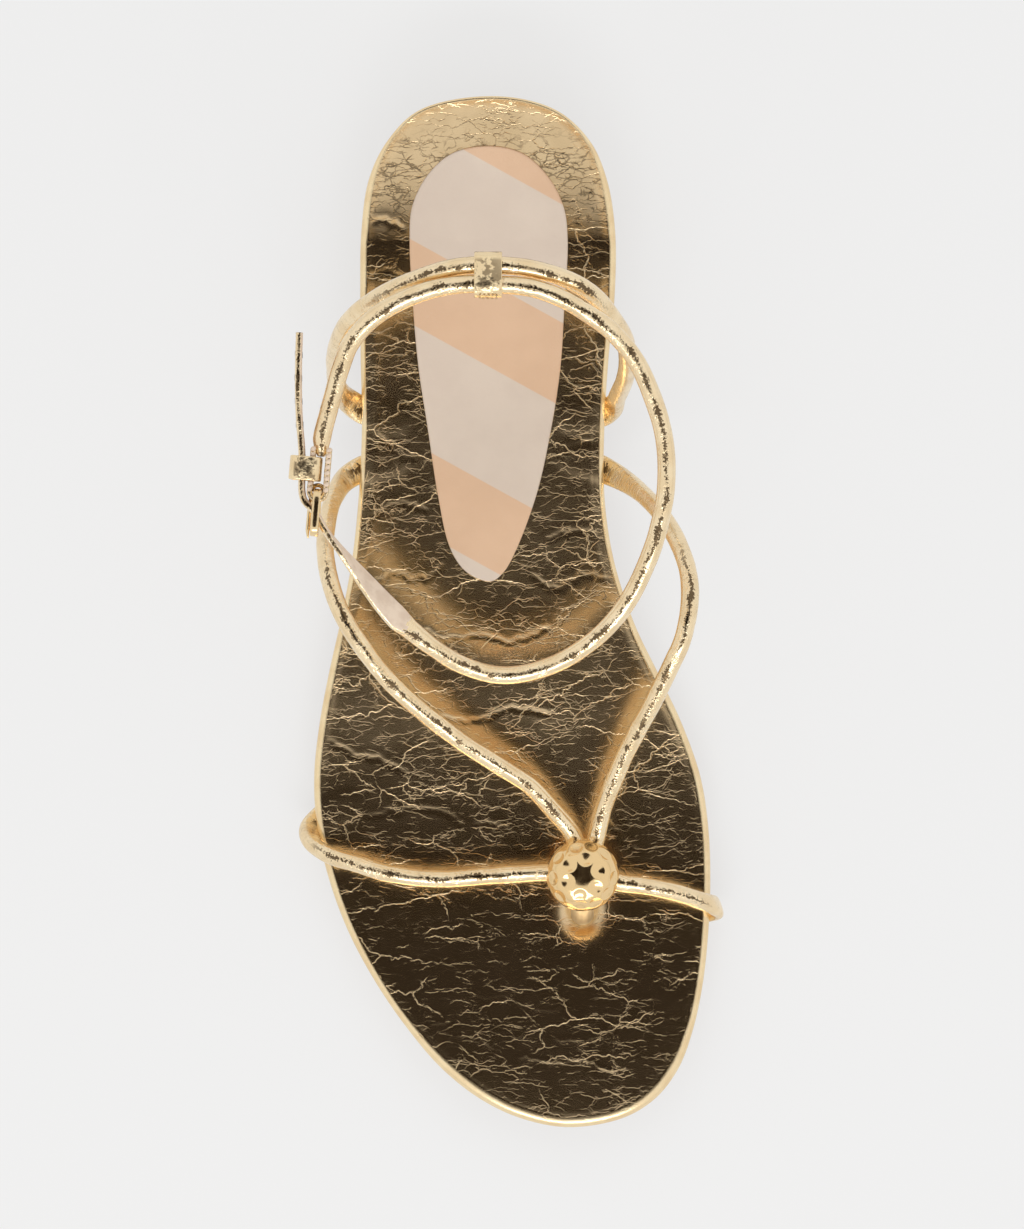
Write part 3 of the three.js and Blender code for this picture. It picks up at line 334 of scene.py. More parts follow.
def closed_outline(heel, sides, toe, cap_rows, steps):
    lateral = [plan_point(row[0], row[1]) for row in sides]
    medial = [plan_point(row[0], row[2]) for row in reversed(sides)]
    knots = [plan_point(*heel)] + lateral + [plan_point(*toe)] + medial
    points = centripetal(knots, steps, True)[0][:, :2]
    side = np.roll(points, -1, axis=0) - np.roll(points, 1, axis=0)
    side /= np.linalg.norm(side, axis=1)[:, None]
    inward = np.stack((-side[:, 1], side[:, 0]), axis=1)
    count, cap = len(points), cap_rows * steps
    order = np.arange(count)
    held = np.clip(np.minimum(order, count - order), cap, count // 2 - cap)
    spine = (points[held] + points[count - held]) / 2
    return points, inward, spine


sole_outline = closed_outline(SOLE_HEEL, SOLE_SIDES, SOLE_TOE, SOLE_CAP_ROWS, OUTLINE_STEPS)
sock_outline = closed_outline(SOCK_HEEL, SOCK_SIDES, SOCK_TOE, SOCK_CAP_ROWS, OUTLINE_STEPS)


def distance_to_chain(places, chain, closed=False):
    """Distance from each place in plan to the nearest part of a chain of points."""
    ends = np.roll(chain, -1, axis=0) if closed else chain[1:]
    starts = chain if closed else chain[:-1]
    least = np.full(len(places), np.inf)
    for start, end in zip(starts, ends):
        run = end - start
        share = np.clip(((places - start) @ run) / max(1e-12, run @ run), 0, 1)
        nearest = start + share[:, None] * run
        least = np.minimum(least, np.linalg.norm(places - nearest, axis=1))
    return least


def footbed_height(places, detail=True):
    """Height of the footbed's top under places in plan, with its cup, rim, lumps, dimple and creases."""
    along = along_of(places[:, 1])
    edge = distance_to_chain(places, sole_outline[0][::4], True)
    evened = smooth_step(SEAT_END, BALL_START, along) - even_ramp(TOP_SEAT_END, TOP_BALL_START, along)
    height = seam_height(along) + HEEL_HEIGHT * evened + GAP / 2 + FOOTBED_THICKNESS + cup_rise(places[:, 1])
    height = height + RIM_RISE * np.clip(1 - edge / RIM_REACH, 0, 1) ** 2
    if not detail:
        return height
    worn = np.array([0.6 + noise.noise(Vector((x / 9, y / 9, 7.7))) for x, y in places])
    ridge = np.exp(-((edge - RIDGE_INSET) / CREASE_WIDTH) ** 2)
    height = height + RIDGE_RISE * waist_share(along) * worn * ridge
    post = plan_point(TOE_POST[-1][0], TOE_POST[-1][1])[:2]
    from_post = np.linalg.norm(places - post, axis=1)
    height = height - DIMPLE_DEPTH * np.exp(-(from_post / DIMPLE_REACH) ** 2)
    for outer, inner, rise in STRAP_LUMPS:
        chain = np.array((plan_point(*outer)[:2], plan_point(*inner)[:2]))
        away = distance_to_chain(places, chain)
        height = height + rise * (1 - smooth_step(LASTED_WIDTH / 2 - 1.4, LASTED_WIDTH / 2 + 1.8, away))
    inside = smooth_step(1.5, 4, edge)
    for crease in FOOTBED_CREASES:
        knots = [plan_point(*place) for place in crease]
        chain = centripetal(knots, 6, False)[0][:, :2]
        wander = [noise.noise(Vector((x * 0.7, y * 0.7, 3.1))) for x, y in chain]
        chain = chain + np.stack((np.zeros(len(chain)), np.array(wander) * 1.5), axis=1)
        away = distance_to_chain(places, chain)
        height = height - inside * CREASE_DEPTH * np.exp(-(away / CREASE_WIDTH) ** 2)
        height = height + inside * 0.015 * np.exp(-((away - 1.2) / 1.0) ** 2)
    return height


# Meshes

def bare_mesh(name, points, edges=(), faces=()):
    """A mesh in metres from points in millimetres."""
    mesh = bpy.data.meshes.new(name)
    mesh.from_pydata([tuple(float(v) * 0.001 for v in point) for point in points], edges, faces)
    return mesh


def show(name, data):
    shown = bpy.data.objects.new(name, data)
    bpy.context.scene.collection.objects.link(shown)
    return shown


def write_layer(mesh, name, values):
    mesh.attributes.new(name, "FLOAT", "POINT").data.foreach_set("value", values)


def shade_smooth(mesh, smooth=True):
    mesh.polygons.foreach_set("use_smooth", [smooth] * len(mesh.polygons))


def make_piece(name, points, faces, materials, uvs=None, face_materials=None, crest_reflection_shown=None):
    """A mesh object in metres at the origin, from points in millimetres."""
    mesh = bare_mesh(name, points, (), faces)
    for material in materials:
        mesh.materials.append(material)
    if face_materials is not None:
        mesh.polygons.foreach_set("material_index", face_materials)
    if uvs is not None:
        corners = np.array([uv for face in uvs for uv in face], float) * 0.001
        mesh.uv_layers.new(name="strap").data.foreach_set("uv", corners.ravel())
    if crest_reflection_shown is not None:
        write_layer(mesh, "crest_reflection_shown", crest_reflection_shown)
    work = bmesh.new()
    work.from_mesh(mesh)
    bmesh.ops.remove_doubles(work, verts=work.verts, dist=1e-7)
    bmesh.ops.recalc_face_normals(work, faces=work.faces)
    work.to_mesh(mesh)
    work.free()
    shade_smooth(mesh)
    return show(name, mesh)


def keep_edges_crisp(piece, degrees):
    """Keeps edges sharper than the angle crisp."""
    work = bmesh.new()
    work.from_mesh(piece.data)
    for edge in work.edges:
        edge.smooth = edge.calc_face_angle(0) < math.radians(degrees)
    work.to_mesh(piece.data)
    work.free()


def band_faces(rings, sides, closed=False):
    """Faces between rings of equally many points, each ring joined to the next."""
    faces = []
    for ring in range(rings if closed else rings - 1):
        here, ahead = ring * sides, (ring + 1) % rings * sides
        for side in range(sides):
            following = (side + 1) % sides
            faces.append((here + side, here + following, ahead + following, ahead + side))
    return faces


def plate(name, outline, layers, materials, face_material=lambda layer: 0):
    """Stacks rings of one outline, from the underside's middle round the edge to the top's middle."""
    points, inward, spine = outline
    stacked = []
    for inset, to_spine, height in layers:
        ring = points + inward * np.reshape(inset, (-1, 1))
        ring = ring + (spine - ring) * to_spine
        stacked.append(np.column_stack((ring, height(ring))))
    kinds = [face_material(layer) for layer in range(len(layers) - 1) for _ in points]
    faces = band_faces(len(layers), len(points))
    return make_piece(name, np.vstack(stacked), faces, materials, face_materials=kinds)


# Stations of a strap: centre, tangent, across, deep, half width, half thickness, flatness, lean

def route_point(row, height):
    place = plan_point(row[0], row[1])
    place[2] = mix(seam_height(row[0]), height, row[2])
    return place


def sample_route(points, flats, leans=None):
    centres, tangents = centripetal(points, ROUTE_STEPS, False)
    rows = np.arange(len(flats))
    at = np.linspace(0, len(flats) - 1, len(centres))
    flat = np.interp(at, rows, flats)
    lean = np.interp(at, rows, leans) if leans is not None else np.zeros(len(at))
    run = np.concatenate(([0], np.cumsum(np.linalg.norm(np.diff(centres, axis=0), axis=1))))
    return {"centre": centres, "tangent": tangents, "flat": flat, "lean": lean, "run": run, "row": at}


def carry_frames(route):
    """Carries the section along a cord; both lasted ends lie level, and the twist between is spread."""
    up = np.array((0.0, 0.0, 1.0))
    tangents = route["tangent"]
    across = unit(np.cross(tangents[0], up))
    carried = []
    for tangent in tangents:
        across = unit(across - tangent * (across @ tangent))
        carried.append(across)
    turn = 0.0
    if route["flat"][-1] > 0:
        level = unit(np.cross(tangents[-1], up))
        turn = math.atan(np.cross(carried[-1], level) @ tangents[-1] / (carried[-1] @ level))
    final = []
    for index, (tangent, across) in enumerate(zip(tangents, carried)):
        angle = turn * index / (len(carried) - 1)
        final.append(across * math.cos(angle) + np.cross(tangent, across) * math.sin(angle))
    route["across"] = np.array(final)
    route["deep"] = np.cross(tangents, route["across"])


def upright_frames(route):
    """Stands the section upright around the ankle, its upper edge tipped outward by the lean."""
    up = np.array((0.0, 0.0, 1.0))
    middle = plan_point(*ANKLE_MIDDLE)
    across = []
    for centre, tangent, lean in zip(route["centre"], route["tangent"], route["lean"]):
        outward = unit(np.cross(tangent, up))
        if outward @ (centre - middle) < 0:
            outward = -outward
        upright = unit(up - tangent * tangent[2])
        across.append(upright * math.cos(math.radians(lean)) + outward * math.sin(math.radians(lean)))
    route["across"] = np.array(across)
    route["deep"] = np.cross(route["tangent"], route["across"])


def shape_route(route, diameter, width, thickness):
    route["half_width"] = mix(diameter, width, route["flat"]) / 2
    route["half_thickness"] = mix(diameter, thickness, route["flat"]) / 2


def cord_wrinkle(run, angle, seed):
    """How far rolled leather stands out of its round section, in millimetres."""
    around = Vector((math.cos(angle), math.sin(angle), 0)) * 1.1
    slow = noise.noise(Vector((run / 7, seed, 0)) + around * 0.5) * 0.12
    fold = noise.noise(Vector((run / 1.6, seed + 9, 0)) + around * 0.9)
    pleat = noise.noise(Vector((run / 0.8, seed + 17, 0)) + around * 1.3)
    return slow - 0.09 * max(0.0, fold - 0.15) + 0.012 * pleat


def sweep_parts(route, seed, sides=CORD_SIDES, wrinkle=1.0):
    """Points, faces and places on a strap's skin: along it, and around it from its upper side."""
    points, uvs = [], []
    count = len(route["centre"])
    for index in range(count):
        flat = route["flat"][index]
        exponent = 1 - 0.5 * flat
        half_width = route["half_width"][index]
        half_thickness = route["half_thickness"][index]
        for side in range(sides):
            angle = (side + 0.5) / sides * 2 * math.pi
            across = signed_power(math.cos(angle), exponent) * half_width
            deep = signed_power(math.sin(angle), exponent) * half_thickness
            bulge = cord_wrinkle(route["run"][index], angle, seed) * wrinkle * mix(1, 0.35, flat)
            swell = 1 + bulge / (half_width + half_thickness) * 2
            offset = route["across"][index] * across + route["deep"][index] * deep
            points.append(route["centre"][index] + offset * swell)
    faces = band_faces(count, sides)
    radius = CORD_DIAMETER / 2
    turn = 2 * math.pi
    crests = [math.atan2(deep[2], across[2]) for deep, across in zip(route["deep"], route["across"])]
    for step in range(count - 1):
        start, end = route["run"][step], route["run"][step + 1]
        late = ((crests[step + 1] - crests[step] + math.pi) % turn - math.pi) * radius
        for side in range(sides):
            here = ((side + 0.5) / sides * turn - crests[step] + math.pi) % turn - math.pi
            near, far = here * radius, (here + turn / sides) * radius
            uvs.append(((start, near), (start, far), (end, far - late), (end, near - late)))
    for end in (0, count - 1):
        hub, ring, run = len(points), end * sides, route["run"][end]
        points.append(route["centre"][end])
        faces += [(hub, ring + side, ring + (side + 1) % sides) for side in range(sides)]
        uvs += [((run, 0.0), (run + 0.5, 0.0), (run + 0.5, 0.5))] * sides
    return points, faces, uvs


def level_parts(sides, *routes):
    """How level a strap runs at each of its points, so that the painted dark reflection along its crest fades
    where it climbs.
    """
    shown = []
    for route in routes:
        level = 1 - smooth_step(0.5, 0.8, np.abs(route["tangent"][:, 2]))
        shown.extend(np.repeat(level, sides))
        shown.extend((0.0, 0.0))
    return shown


def join_parts(*parts):
    points, faces, uvs = [], [], []
    for part_points, part_faces, part_uvs in parts:
        start = len(points)
        points.extend(part_points)
        faces.extend(tuple(corner + start for corner in face) for face in part_faces)
        uvs.extend(part_uvs)
    return points, faces, uvs


def lasted_cord(rows, points, diameter):
    route = sample_route(points, [row[3] for row in rows])
    carry_frames(route)
    shape_route(route, diameter, LASTED_WIDTH, LASTED_THICKNESS)
    return route


# Node trees: a node with its settings and its inputs, each a value or another node's socket

def feed(tree, made, inputs):
    for key, value in inputs.items():
        if isinstance(value, bpy.types.NodeSocket):
            tree.links.new(value, made.inputs[key])
        else:
            made.inputs[key].default_value = value


def node(tree, kind, inputs=None, **settings):
    made = tree.nodes.new(kind)
    for name, value in settings.items():
        setattr(made, name, value)
    feed(tree, made, inputs or {})
    return made


def add(tree, kind, inputs=None, output=0, **settings):
    """Adds a node and gives one of its outputs."""
    return node(tree, kind, inputs, **settings).outputs[output]


def math_node(tree, operation, first, second=0.0):
    return add(tree, "ShaderNodeMath", {0: first, 1: second}, operation=operation)


def product(tree, *terms):
    total = terms[0]
    for term in terms[1:]:
        total = math_node(tree, "MULTIPLY", total, term)
    return total


def about(tree, value, middle, size):
    return product(tree, math_node(tree, "SUBTRACT", value, middle), size)


def vector_node(tree, operation, first, second=(0, 0, 0)):
    return add(tree, "ShaderNodeVectorMath", {0: first, 1: second}, operation=operation)


def scaled(tree, vector, share):
    return add(tree, "ShaderNodeVectorMath", {0: vector, "Scale": share}, operation="SCALE")


def parts_of(tree, vector):
    return node(tree, "ShaderNodeSeparateXYZ", {0: vector}).outputs


def joined(tree, x=0.0, y=0.0, z=0.0):
    return add(tree, "ShaderNodeCombineXYZ", {0: x, 1: y, 2: z})


def ramp_between(tree, value, start, end, low=0.0, high=1.0):
    inputs = {"Value": value, "From Min": start, "From Max": end, "To Min": low, "To Max": high}
    return add(tree, "ShaderNodeMapRange", inputs, "Result", interpolation_type="SMOOTHSTEP")


def noise_node(tree, place, size_mm, detail=2.0, roughness=0.5, output="Fac"):
    inputs = {"Vector": place, "Scale": 1000 / size_mm, "Detail": detail, "Roughness": roughness}
    return add(tree, "ShaderNodeTexNoise", inputs, output)


def blend(tree, share, below, above):
    return add(tree, "ShaderNodeMix", {0: share, 6: below, 7: above}, 2, data_type="RGBA")


def own_place(tree):
    return add(tree, "ShaderNodeTexCoord", None, "Object")


def new_material(name):
    material = bpy.data.materials.new(name)
    material.use_nodes = True
    tree = material.node_tree
    tree.nodes.clear()
    surface = node(tree, "ShaderNodeBsdfPrincipled")
    node(tree, "ShaderNodeOutputMaterial", {"Surface": surface.outputs[0]})
    return material, tree, surface


def crack_lines(tree, place, cell_mm, stretch, width_mm, seed, broken=0.5):
    """Height of thin broken cracks between warped cells: 0 on a crack, 1 away from it."""
    moved = vector_node(tree, "ADD", place, (seed * 0.013, seed * 0.029, seed * 0.007))
    wander = noise_node(tree, moved, cell_mm * 0.8, 4.0 if cell_mm > 5 else 2.0, 0.6, "Color")
    wander = scaled(tree, vector_node(tree, "SUBTRACT", wander, (0.5, 0.5, 0.5)), cell_mm * 0.0006)
    warped = vector_node(tree, "ADD", moved, wander)
    warped = vector_node(tree, "MULTIPLY", warped, (1 / stretch, 1, 1))
    cells = add(tree, "ShaderNodeTexVoronoi", {"Vector": warped, "Scale": 1000 / cell_mm}, "Distance",
                feature="DISTANCE_TO_EDGE")
    line = ramp_between(tree, cells, 0.0, width_mm / cell_mm)
    shown = noise_node(tree, moved, cell_mm * 1.7, 1.0)
    shown = ramp_between(tree, shown, broken - 0.07, broken + 0.07)
    lost = math_node(tree, "SUBTRACT", 1.0, line)
    return math_node(tree, "SUBTRACT", 1.0, product(tree, lost, shown))


def tinted(tree, place, size_mm, light, dark):
    share = ramp_between(tree, noise_node(tree, place, size_mm, 3.0), 0.35, 0.65)
    return blend(tree, share, dark, light)


def coat(tree, surface, colour, roughness, metallic, heights):
    """Gives a surface its colour and shine, and a bump from heights in millimetres."""
    total = None
    for height, millimetres in heights:
        term = product(tree, height, millimetres)
        total = term if total is None else math_node(tree, "ADD", total, term)
    bump = add(tree, "ShaderNodeBump", {"Height": total, "Strength": 1.0, "Distance": 0.001})
    feed(tree, surface, {"Base Color": colour, "Roughness": roughness, "Metallic": metallic, "Normal": bump})


# Painted dark reflection and shade, for the folds and crack lines of gold leather
PAINTED_SHADE_AND_REFLECTION = (0.16, 0.11, 0.06, 1)


def footbed_leather():
    """Crinkled gold foil leather of the footbed: creases at five scales, mostly crosswise, with painted shade
    in the crack lines over the heel cup.
    """
    material, tree, surface = new_material("crinkled_gold_leather")
    place = own_place(tree)
    middling = crack_lines(tree, place, 3.2, 2.4, 0.11, 3, 0.52)
    fine = crack_lines(tree, place, 1.7, 2.0, 0.1, 4, 0.53)
    seat = parts_of(tree, place)[1]
    whole = product(tree, crack_lines(tree, place, 2.2, 2.6, 0.17, 11, 0.47), middling, fine)
    behind = ramp_between(tree, seat, -0.024, -0.015)
    ahead = ramp_between(tree, seat, -0.002, 0.008, 1.0, 0.0)
    # Painted shade: the crack lines over the heel cup are darkened with the painted dark colour.
    painted_crack_shade = product(tree, math_node(tree, "SUBTRACT", 1.0, whole), 0.7, behind, ahead)
    colour = tinted(tree, place, 9, (0.79, 0.60, 0.36, 1), (0.72, 0.54, 0.315, 1))
    coat(tree, surface, blend(tree, painted_crack_shade, colour, PAINTED_SHADE_AND_REFLECTION), 0.16, 1.0, (
        (crack_lines(tree, place, 13, 2.2, 0.13, 1, 0.51), 0.03),
        (crack_lines(tree, place, 6.5, 2.2, 0.12, 2, 0.535), 0.025),
        (crack_lines(tree, place, 4.4, 3.4, 0.1, 9, 0.52), 0.015),
        (middling, 0.016),
        (fine, 0.009),
        (noise_node(tree, place, 16, 1.0), 0.15),
        (noise_node(tree, place, 0.9), 0.0018),
    ))
    return material


def cord_leather(name, light, dark, roughness):
    """Gold leather rolled into cord: pleats across the cord and a fine crackle, on the strap's own places,
    with a broken dark line along the crest that is a slight sunk groove with painted dark reflection.
    """
    material, tree, surface = new_material(name)
    place = add(tree, "ShaderNodeUVMap", uv_map="strap")
    pleats = vector_node(tree, "MULTIPLY", place, (1, 0.35, 1))
    along = vector_node(tree, "MULTIPLY", place, (1, 0.1, 1))
    wander = about(tree, noise_node(tree, along, 9, 1.0), 0.5, 0.0024)
    half = about(tree, noise_node(tree, along, 7, 4.0, 0.72), 0.43, 0.0045)
    ragged = about(tree, noise_node(tree, place, 0.5, 3.0, 0.6), 0.5, 0.0032)
    away = math_node(tree, "ABSOLUTE", math_node(tree, "SUBTRACT", parts_of(tree, place)[1], wander))
    within = math_node(tree, "SUBTRACT", math_node(tree, "ADD", half, ragged), away)
    shown = add(tree, "ShaderNodeAttribute", None, "Fac", attribute_name="crest_reflection_shown")
    # Painted reflection: the broken dark line along the upper side stands for the dark sky mirrored there;
    # the bump below also sinks it a little.
    fold = product(tree, ramp_between(tree, within, -0.00008, 0.00008), shown)
    crest = ramp_between(tree, away, 0.0003, 0.0016, 1.0, 0.0)
    colour = blend(tree, fold, tinted(tree, place, 6, light, dark), PAINTED_SHADE_AND_REFLECTION)
    coat(tree, surface, colour, roughness, 1.0, (
        (noise_node(tree, pleats, 0.8), 0.045),
        (noise_node(tree, pleats, 2.6, 1.0), 0.09),
        (crack_lines(tree, place, 1.6, 0.6, 0.18, 5), 0.03),
        (crack_lines(tree, place, 3.2, 0.5, 0.2, 6), 0.045),
        (product(tree, noise_node(tree, place, 0.45), crest), 0.035),
        (fold, -0.03),
    ))
    return material


def smooth_gold_leather(name, wrinkle):
    """The same leather where it is drawn over an edge or a band, with wrinkle bumps and, by the same share,
    painted dark reflection in patches where the surface faces up.
    """
    material, tree, surface = new_material(name)
    place = own_place(tree)
    upward = parts_of(tree, add(tree, "ShaderNodeNewGeometry", None, "Normal"))[2]
    # Painted reflection: patches darken where the surface faces up, standing for the dark sky above mirrored
    # in it.
    painted_reflection_patches = ramp_between(tree, noise_node(tree, place, 2.4, 3.0, 0.6), 0.46, 0.54)
    painted_reflection_patches = product(tree, painted_reflection_patches, ramp_between(tree, upward, 0.8, 0.96), 0.72 * wrinkle)
    colour = tinted(tree, place, 5, (0.93, 0.75, 0.47, 1), (0.87, 0.67, 0.40, 1))
    coat(tree, surface, blend(tree, painted_reflection_patches, colour, PAINTED_SHADE_AND_REFLECTION), 0.27, 1.0, (
        (noise_node(tree, place, 5), 0.07),
        (noise_node(tree, place, 1.5), 0.3 * wrinkle),
        (noise_node(tree, place, 0.5, 2.0, 0.6), 0.012),
        (crack_lines(tree, place, 2.6, 1.2, 0.2, 7, 0.6), 0.02 + 0.08 * wrinkle),
    ))
    return material


def cast_gold(name, colour, roughness):
    material, tree, surface = new_material(name)
    place = own_place(tree)
    smudge = noise_node(tree, place, 3, 3.0)
    dull = ramp_between(tree, smudge, 0.3, 0.7, roughness * 0.7, roughness * 1.3)
    coat(tree, surface, colour, dull, 1.0, (
        (noise_node(tree, place, 1.6), 0.02),
        (noise_node(tree, place, 0.25, 2.0, 0.6), 0.003),
    ))
    return material


def nude_lining():
    material, tree, surface = new_material("nude_lining")
    place = own_place(tree)
    colour = tinted(tree, place, 2.5, (0.86, 0.70, 0.55, 1), (0.76, 0.60, 0.46, 1))
    coat(tree, surface, colour, 0.62, 0.0, (
        (noise_node(tree, place, 0.6, 4.0, 0.6), 0.05),
        (crack_lines(tree, place, 1.1, 1.0, 0.3, 8, 0.4), 0.02),
    ))
    return material


def sock_leather():
    """Beige sock with slanted tan bands across its middle and fine grain."""
    material, tree, surface = new_material("beige_sock_leather")
    place = own_place(tree)
    parts = parts_of(tree, place)
    slant = math_node(tree, "ADD", parts[1], product(tree, parts[0], 0.55))
    band = ramp_between(tree, math_node(tree, "PINGPONG", slant, 0.024), 0.01385, 0.01415)
    worn = ramp_between(tree, noise_node(tree, place, 0.4), 0.25, 0.4)
    shown = product(tree, band, math_node(tree, "ADD", product(tree, worn, 0.15), 0.85))
    beige = tinted(tree, place, 12, (0.75, 0.63, 0.525, 1), (0.72, 0.60, 0.50, 1))
    tan = tinted(tree, place, 12, (0.78, 0.525, 0.345, 1), (0.75, 0.50, 0.325, 1))
    coat(tree, surface, blend(tree, shown, beige, tan), 0.58, 0.0, (
        (noise_node(tree, place, 0.55, 4.0, 0.6), 0.06),
        (noise_node(tree, place, 14), 0.3),
    ))
    return material


def rubber(name, light, dark, roughness):
    """A dull surface with a fine and a coarse unevenness."""
    material, tree, surface = new_material(name)
    place = own_place(tree)
    coat(tree, surface, tinted(tree, place, 4, light, dark), roughness, 0.0, (
        (noise_node(tree, place, 0.8, 4.0, 0.65), 0.09),
        (noise_node(tree, place, 6), 0.1),
    ))
    return material


crinkled_gold = footbed_leather()
rolled_gold = cord_leather("rolled_gold_leather", (0.95, 0.78, 0.52, 1), (0.88, 0.69, 0.43, 1), 0.2)
worn_gold = cord_leather("worn_gold_leather", (0.95, 0.81, 0.59, 1), (0.90, 0.75, 0.53, 1), 0.4)
tight_gold = smooth_gold_leather("tight_gold_leather", 0)
wrinkled_gold_with_painted_reflection = smooth_gold_leather("wrinkled_gold_leather_with_painted_reflection", 1)
hammered_gold = cast_gold("hammered_gold", (0.87, 0.63, 0.33, 1), 0.14)
buckle_gold = cast_gold("buckle_gold", (0.86, 0.66, 0.38, 1), 0.16)
lining = nude_lining()
sock_face = sock_leather()
sole_rubber = rubber("tan_sole_rubber", (0.36, 0.23, 0.13, 1), (0.30, 0.18, 0.10, 1), 0.7)
lift_rubber = rubber("dark_lift_rubber", (0.085, 0.06, 0.042, 1), (0.06, 0.042, 0.03, 1), 0.75)
thread = rubber("gold_thread", (0.62, 0.45, 0.25, 1), (0.55, 0.39, 0.2, 1), 0.5)
# Painted shade: near-black discs stand in for the shadowed depth of the strap's holes.
hole_painted_shade = rubber("punched_hole_painted_shade", (0.05, 0.035, 0.022, 1), (0.03, 0.02, 0.014, 1), 0.8)


# Sole pieces

def make_footbed():
    bottom = lambda ring: seam_height(along_of(ring[:, 1])) + GAP / 2
    along = along_of(sole_outline[0][:, 1])
    radius = mix(HEEL_EDGE_RADIUS, FOOTBED_EDGE_RADIUS, smooth_step(0.015, 0.1, along))
    radius = mix(radius, WAIST_EDGE_RADIUS, waist_share(along))
    radius = mix(radius, TOE_EDGE_RADIUS, smooth_step(0.88, 0.97, along))
    layers = [
        (EDGE_CHAMFER, 1, bottom),
        (EDGE_CHAMFER, 0, bottom),
        (0.2, 0, lambda ring: bottom(ring) + 0.25),
        (0, 0, lambda ring: bottom(ring) + 0.8),
    ]
    for degrees in (0, 12, 24, 36, 48, 60, 72, 82):
        angle = math.radians(degrees)
        inset = radius * (1 - math.cos(angle))
        drop = radius * (1 - math.sin(angle))
        layers.append((inset, 0, lambda ring, drop=drop: footbed_height(ring) - drop))
    for share in np.concatenate((np.linspace(0, 0.2, 13), np.linspace(0.215, 1, 50))):
        layers.append((radius, share, footbed_height))
    return plate("footbed_wrapped", sole_outline, layers, [crinkled_gold, tight_gold],
                 lambda layer: 1 if 2 <= layer < 11 else 0)


def make_outsole():
    bottom = lambda ring: underside_height(along_of(ring[:, 1]))
    top = lambda ring: seam_height(along_of(ring[:, 1])) - GAP / 2
    inset = OUTSOLE_STEP
    return plate("outsole_moulded", sole_outline, [
        (inset + EDGE_CHAMFER, 1, bottom),
        (inset + EDGE_CHAMFER, 0.5, bottom),
        (inset + 4, 0, bottom),
        (inset + EDGE_CHAMFER, 0, bottom),
        (inset + EDGE_CHAMFER * 0.3, 0, lambda ring: bottom(ring) + EDGE_CHAMFER * 0.3),
        (inset, 0, lambda ring: bottom(ring) + EDGE_CHAMFER),
        (inset, 0, lambda ring: top(ring) - 0.35),
        (inset + 0.35, 0, top),
        (inset + 0.35, 1, top),
    ], [sole_rubber])


def make_heel(name, bottom_height, top_height, bottom_inset, top_inset, material, grooves):
    """A level block under the heel seat, its front cut off straight."""
    rows = [(bottom_inset + 0.5, 1, bottom_height), (bottom_inset + 0.5, 0, bottom_height)]
    steps = 6 * (grooves + 1)
    for step in range(steps + 1):
        share = step / steps
        dip = 0.18 if 0 < step < steps and step % 6 == 0 else 0.0
        height = mix(bottom_height + 0.25, top_height - 0.1, share)
        rows.append((mix(bottom_inset, top_inset, share) + dip, 0, height))
    rows += [(top_inset + 0.3, 0, top_height), (top_inset + 0.3, 1, top_height)]
    layers = [
        (inset, to_spine, lambda ring, height=height: np.full(len(ring), float(height)))
        for inset, to_spine, height in rows
    ]
    piece = plate(name, sole_outline, layers, [material])
    work = bmesh.new()
    work.from_mesh(piece.data)
    front = Vector((0, HEEL_LENGTH / 2 * 0.001, 0))
    whole = list(work.verts) + list(work.edges) + list(work.faces)
    cut = bmesh.ops.bisect_plane(work, geom=whole, plane_co=front, plane_no=(0, 1, 0), clear_outer=True)
    rim = [item for item in cut["geom_cut"] if isinstance(item, bmesh.types.BMEdge)]
    bmesh.ops.triangle_fill(work, edges=rim, use_beauty=True)
    bmesh.ops.recalc_face_normals(work, faces=work.faces)
    work.to_mesh(piece.data)
    work.free()
    shade_smooth(piece.data)
    keep_edges_crisp(piece, 35)
    return piece


def make_sock():
    seat = lambda ring: footbed_height(ring, False) + 0.12
    thick = SOCK_THICKNESS
    layers = [(0.15, 1, seat), (0.15, 0.5, seat), (0.15, 0, seat)]
    for degrees in (0, 30, 60, 90):
        angle = math.radians(degrees)
        inset = thick * 0.6 * (1 - math.cos(angle))
        rise = thick * (0.4 + 0.6 * math.sin(angle))
        layers.append((inset, 0, lambda ring, rise=rise: seat(ring) + rise))
    for share in np.linspace(0.03, 1, 14):
        layers.append((thick * 0.6, share, lambda ring: seat(ring) + thick))
    return plate("heel_sock_leather", sock_outline, layers, [sock_face])


footbed = make_footbed()
outsole = make_outsole()
lift_top_inset = OUTSOLE_STEP + HEEL_STEP + HEEL_TAPER * (1 - LIFT_THICKNESS / HEEL_HEIGHT)
lift_bottom_inset = OUTSOLE_STEP + HEEL_STEP + HEEL_TAPER
heel = make_heel("heel_stack", LIFT_THICKNESS + GAP / 2, HEEL_HEIGHT - GAP / 2, lift_top_inset,
                 OUTSOLE_STEP + HEEL_STEP, tight_gold, 2)
heel_lift = make_heel("heel_top_piece", 0, LIFT_THICKNESS, lift_bottom_inset, lift_top_inset, lift_rubber, 0)
heel_sock = make_sock()


# Forefoot straps

crossing_point = route_point(CROSSING, TOE_STRAP_HEIGHT)


def instep_cord(table):
    rows = list(table) + [(0, 0, 0, 0)]
    points = [route_point(row, INSTEP_HEIGHT) for row in table] + [crossing_point]
    return lasted_cord(rows, points, CORD_DIAMETER)


def toe_cord(table, diameter):
    return lasted_cord(table, [route_point(row, TOE_STRAP_HEIGHT) for row in table], diameter)


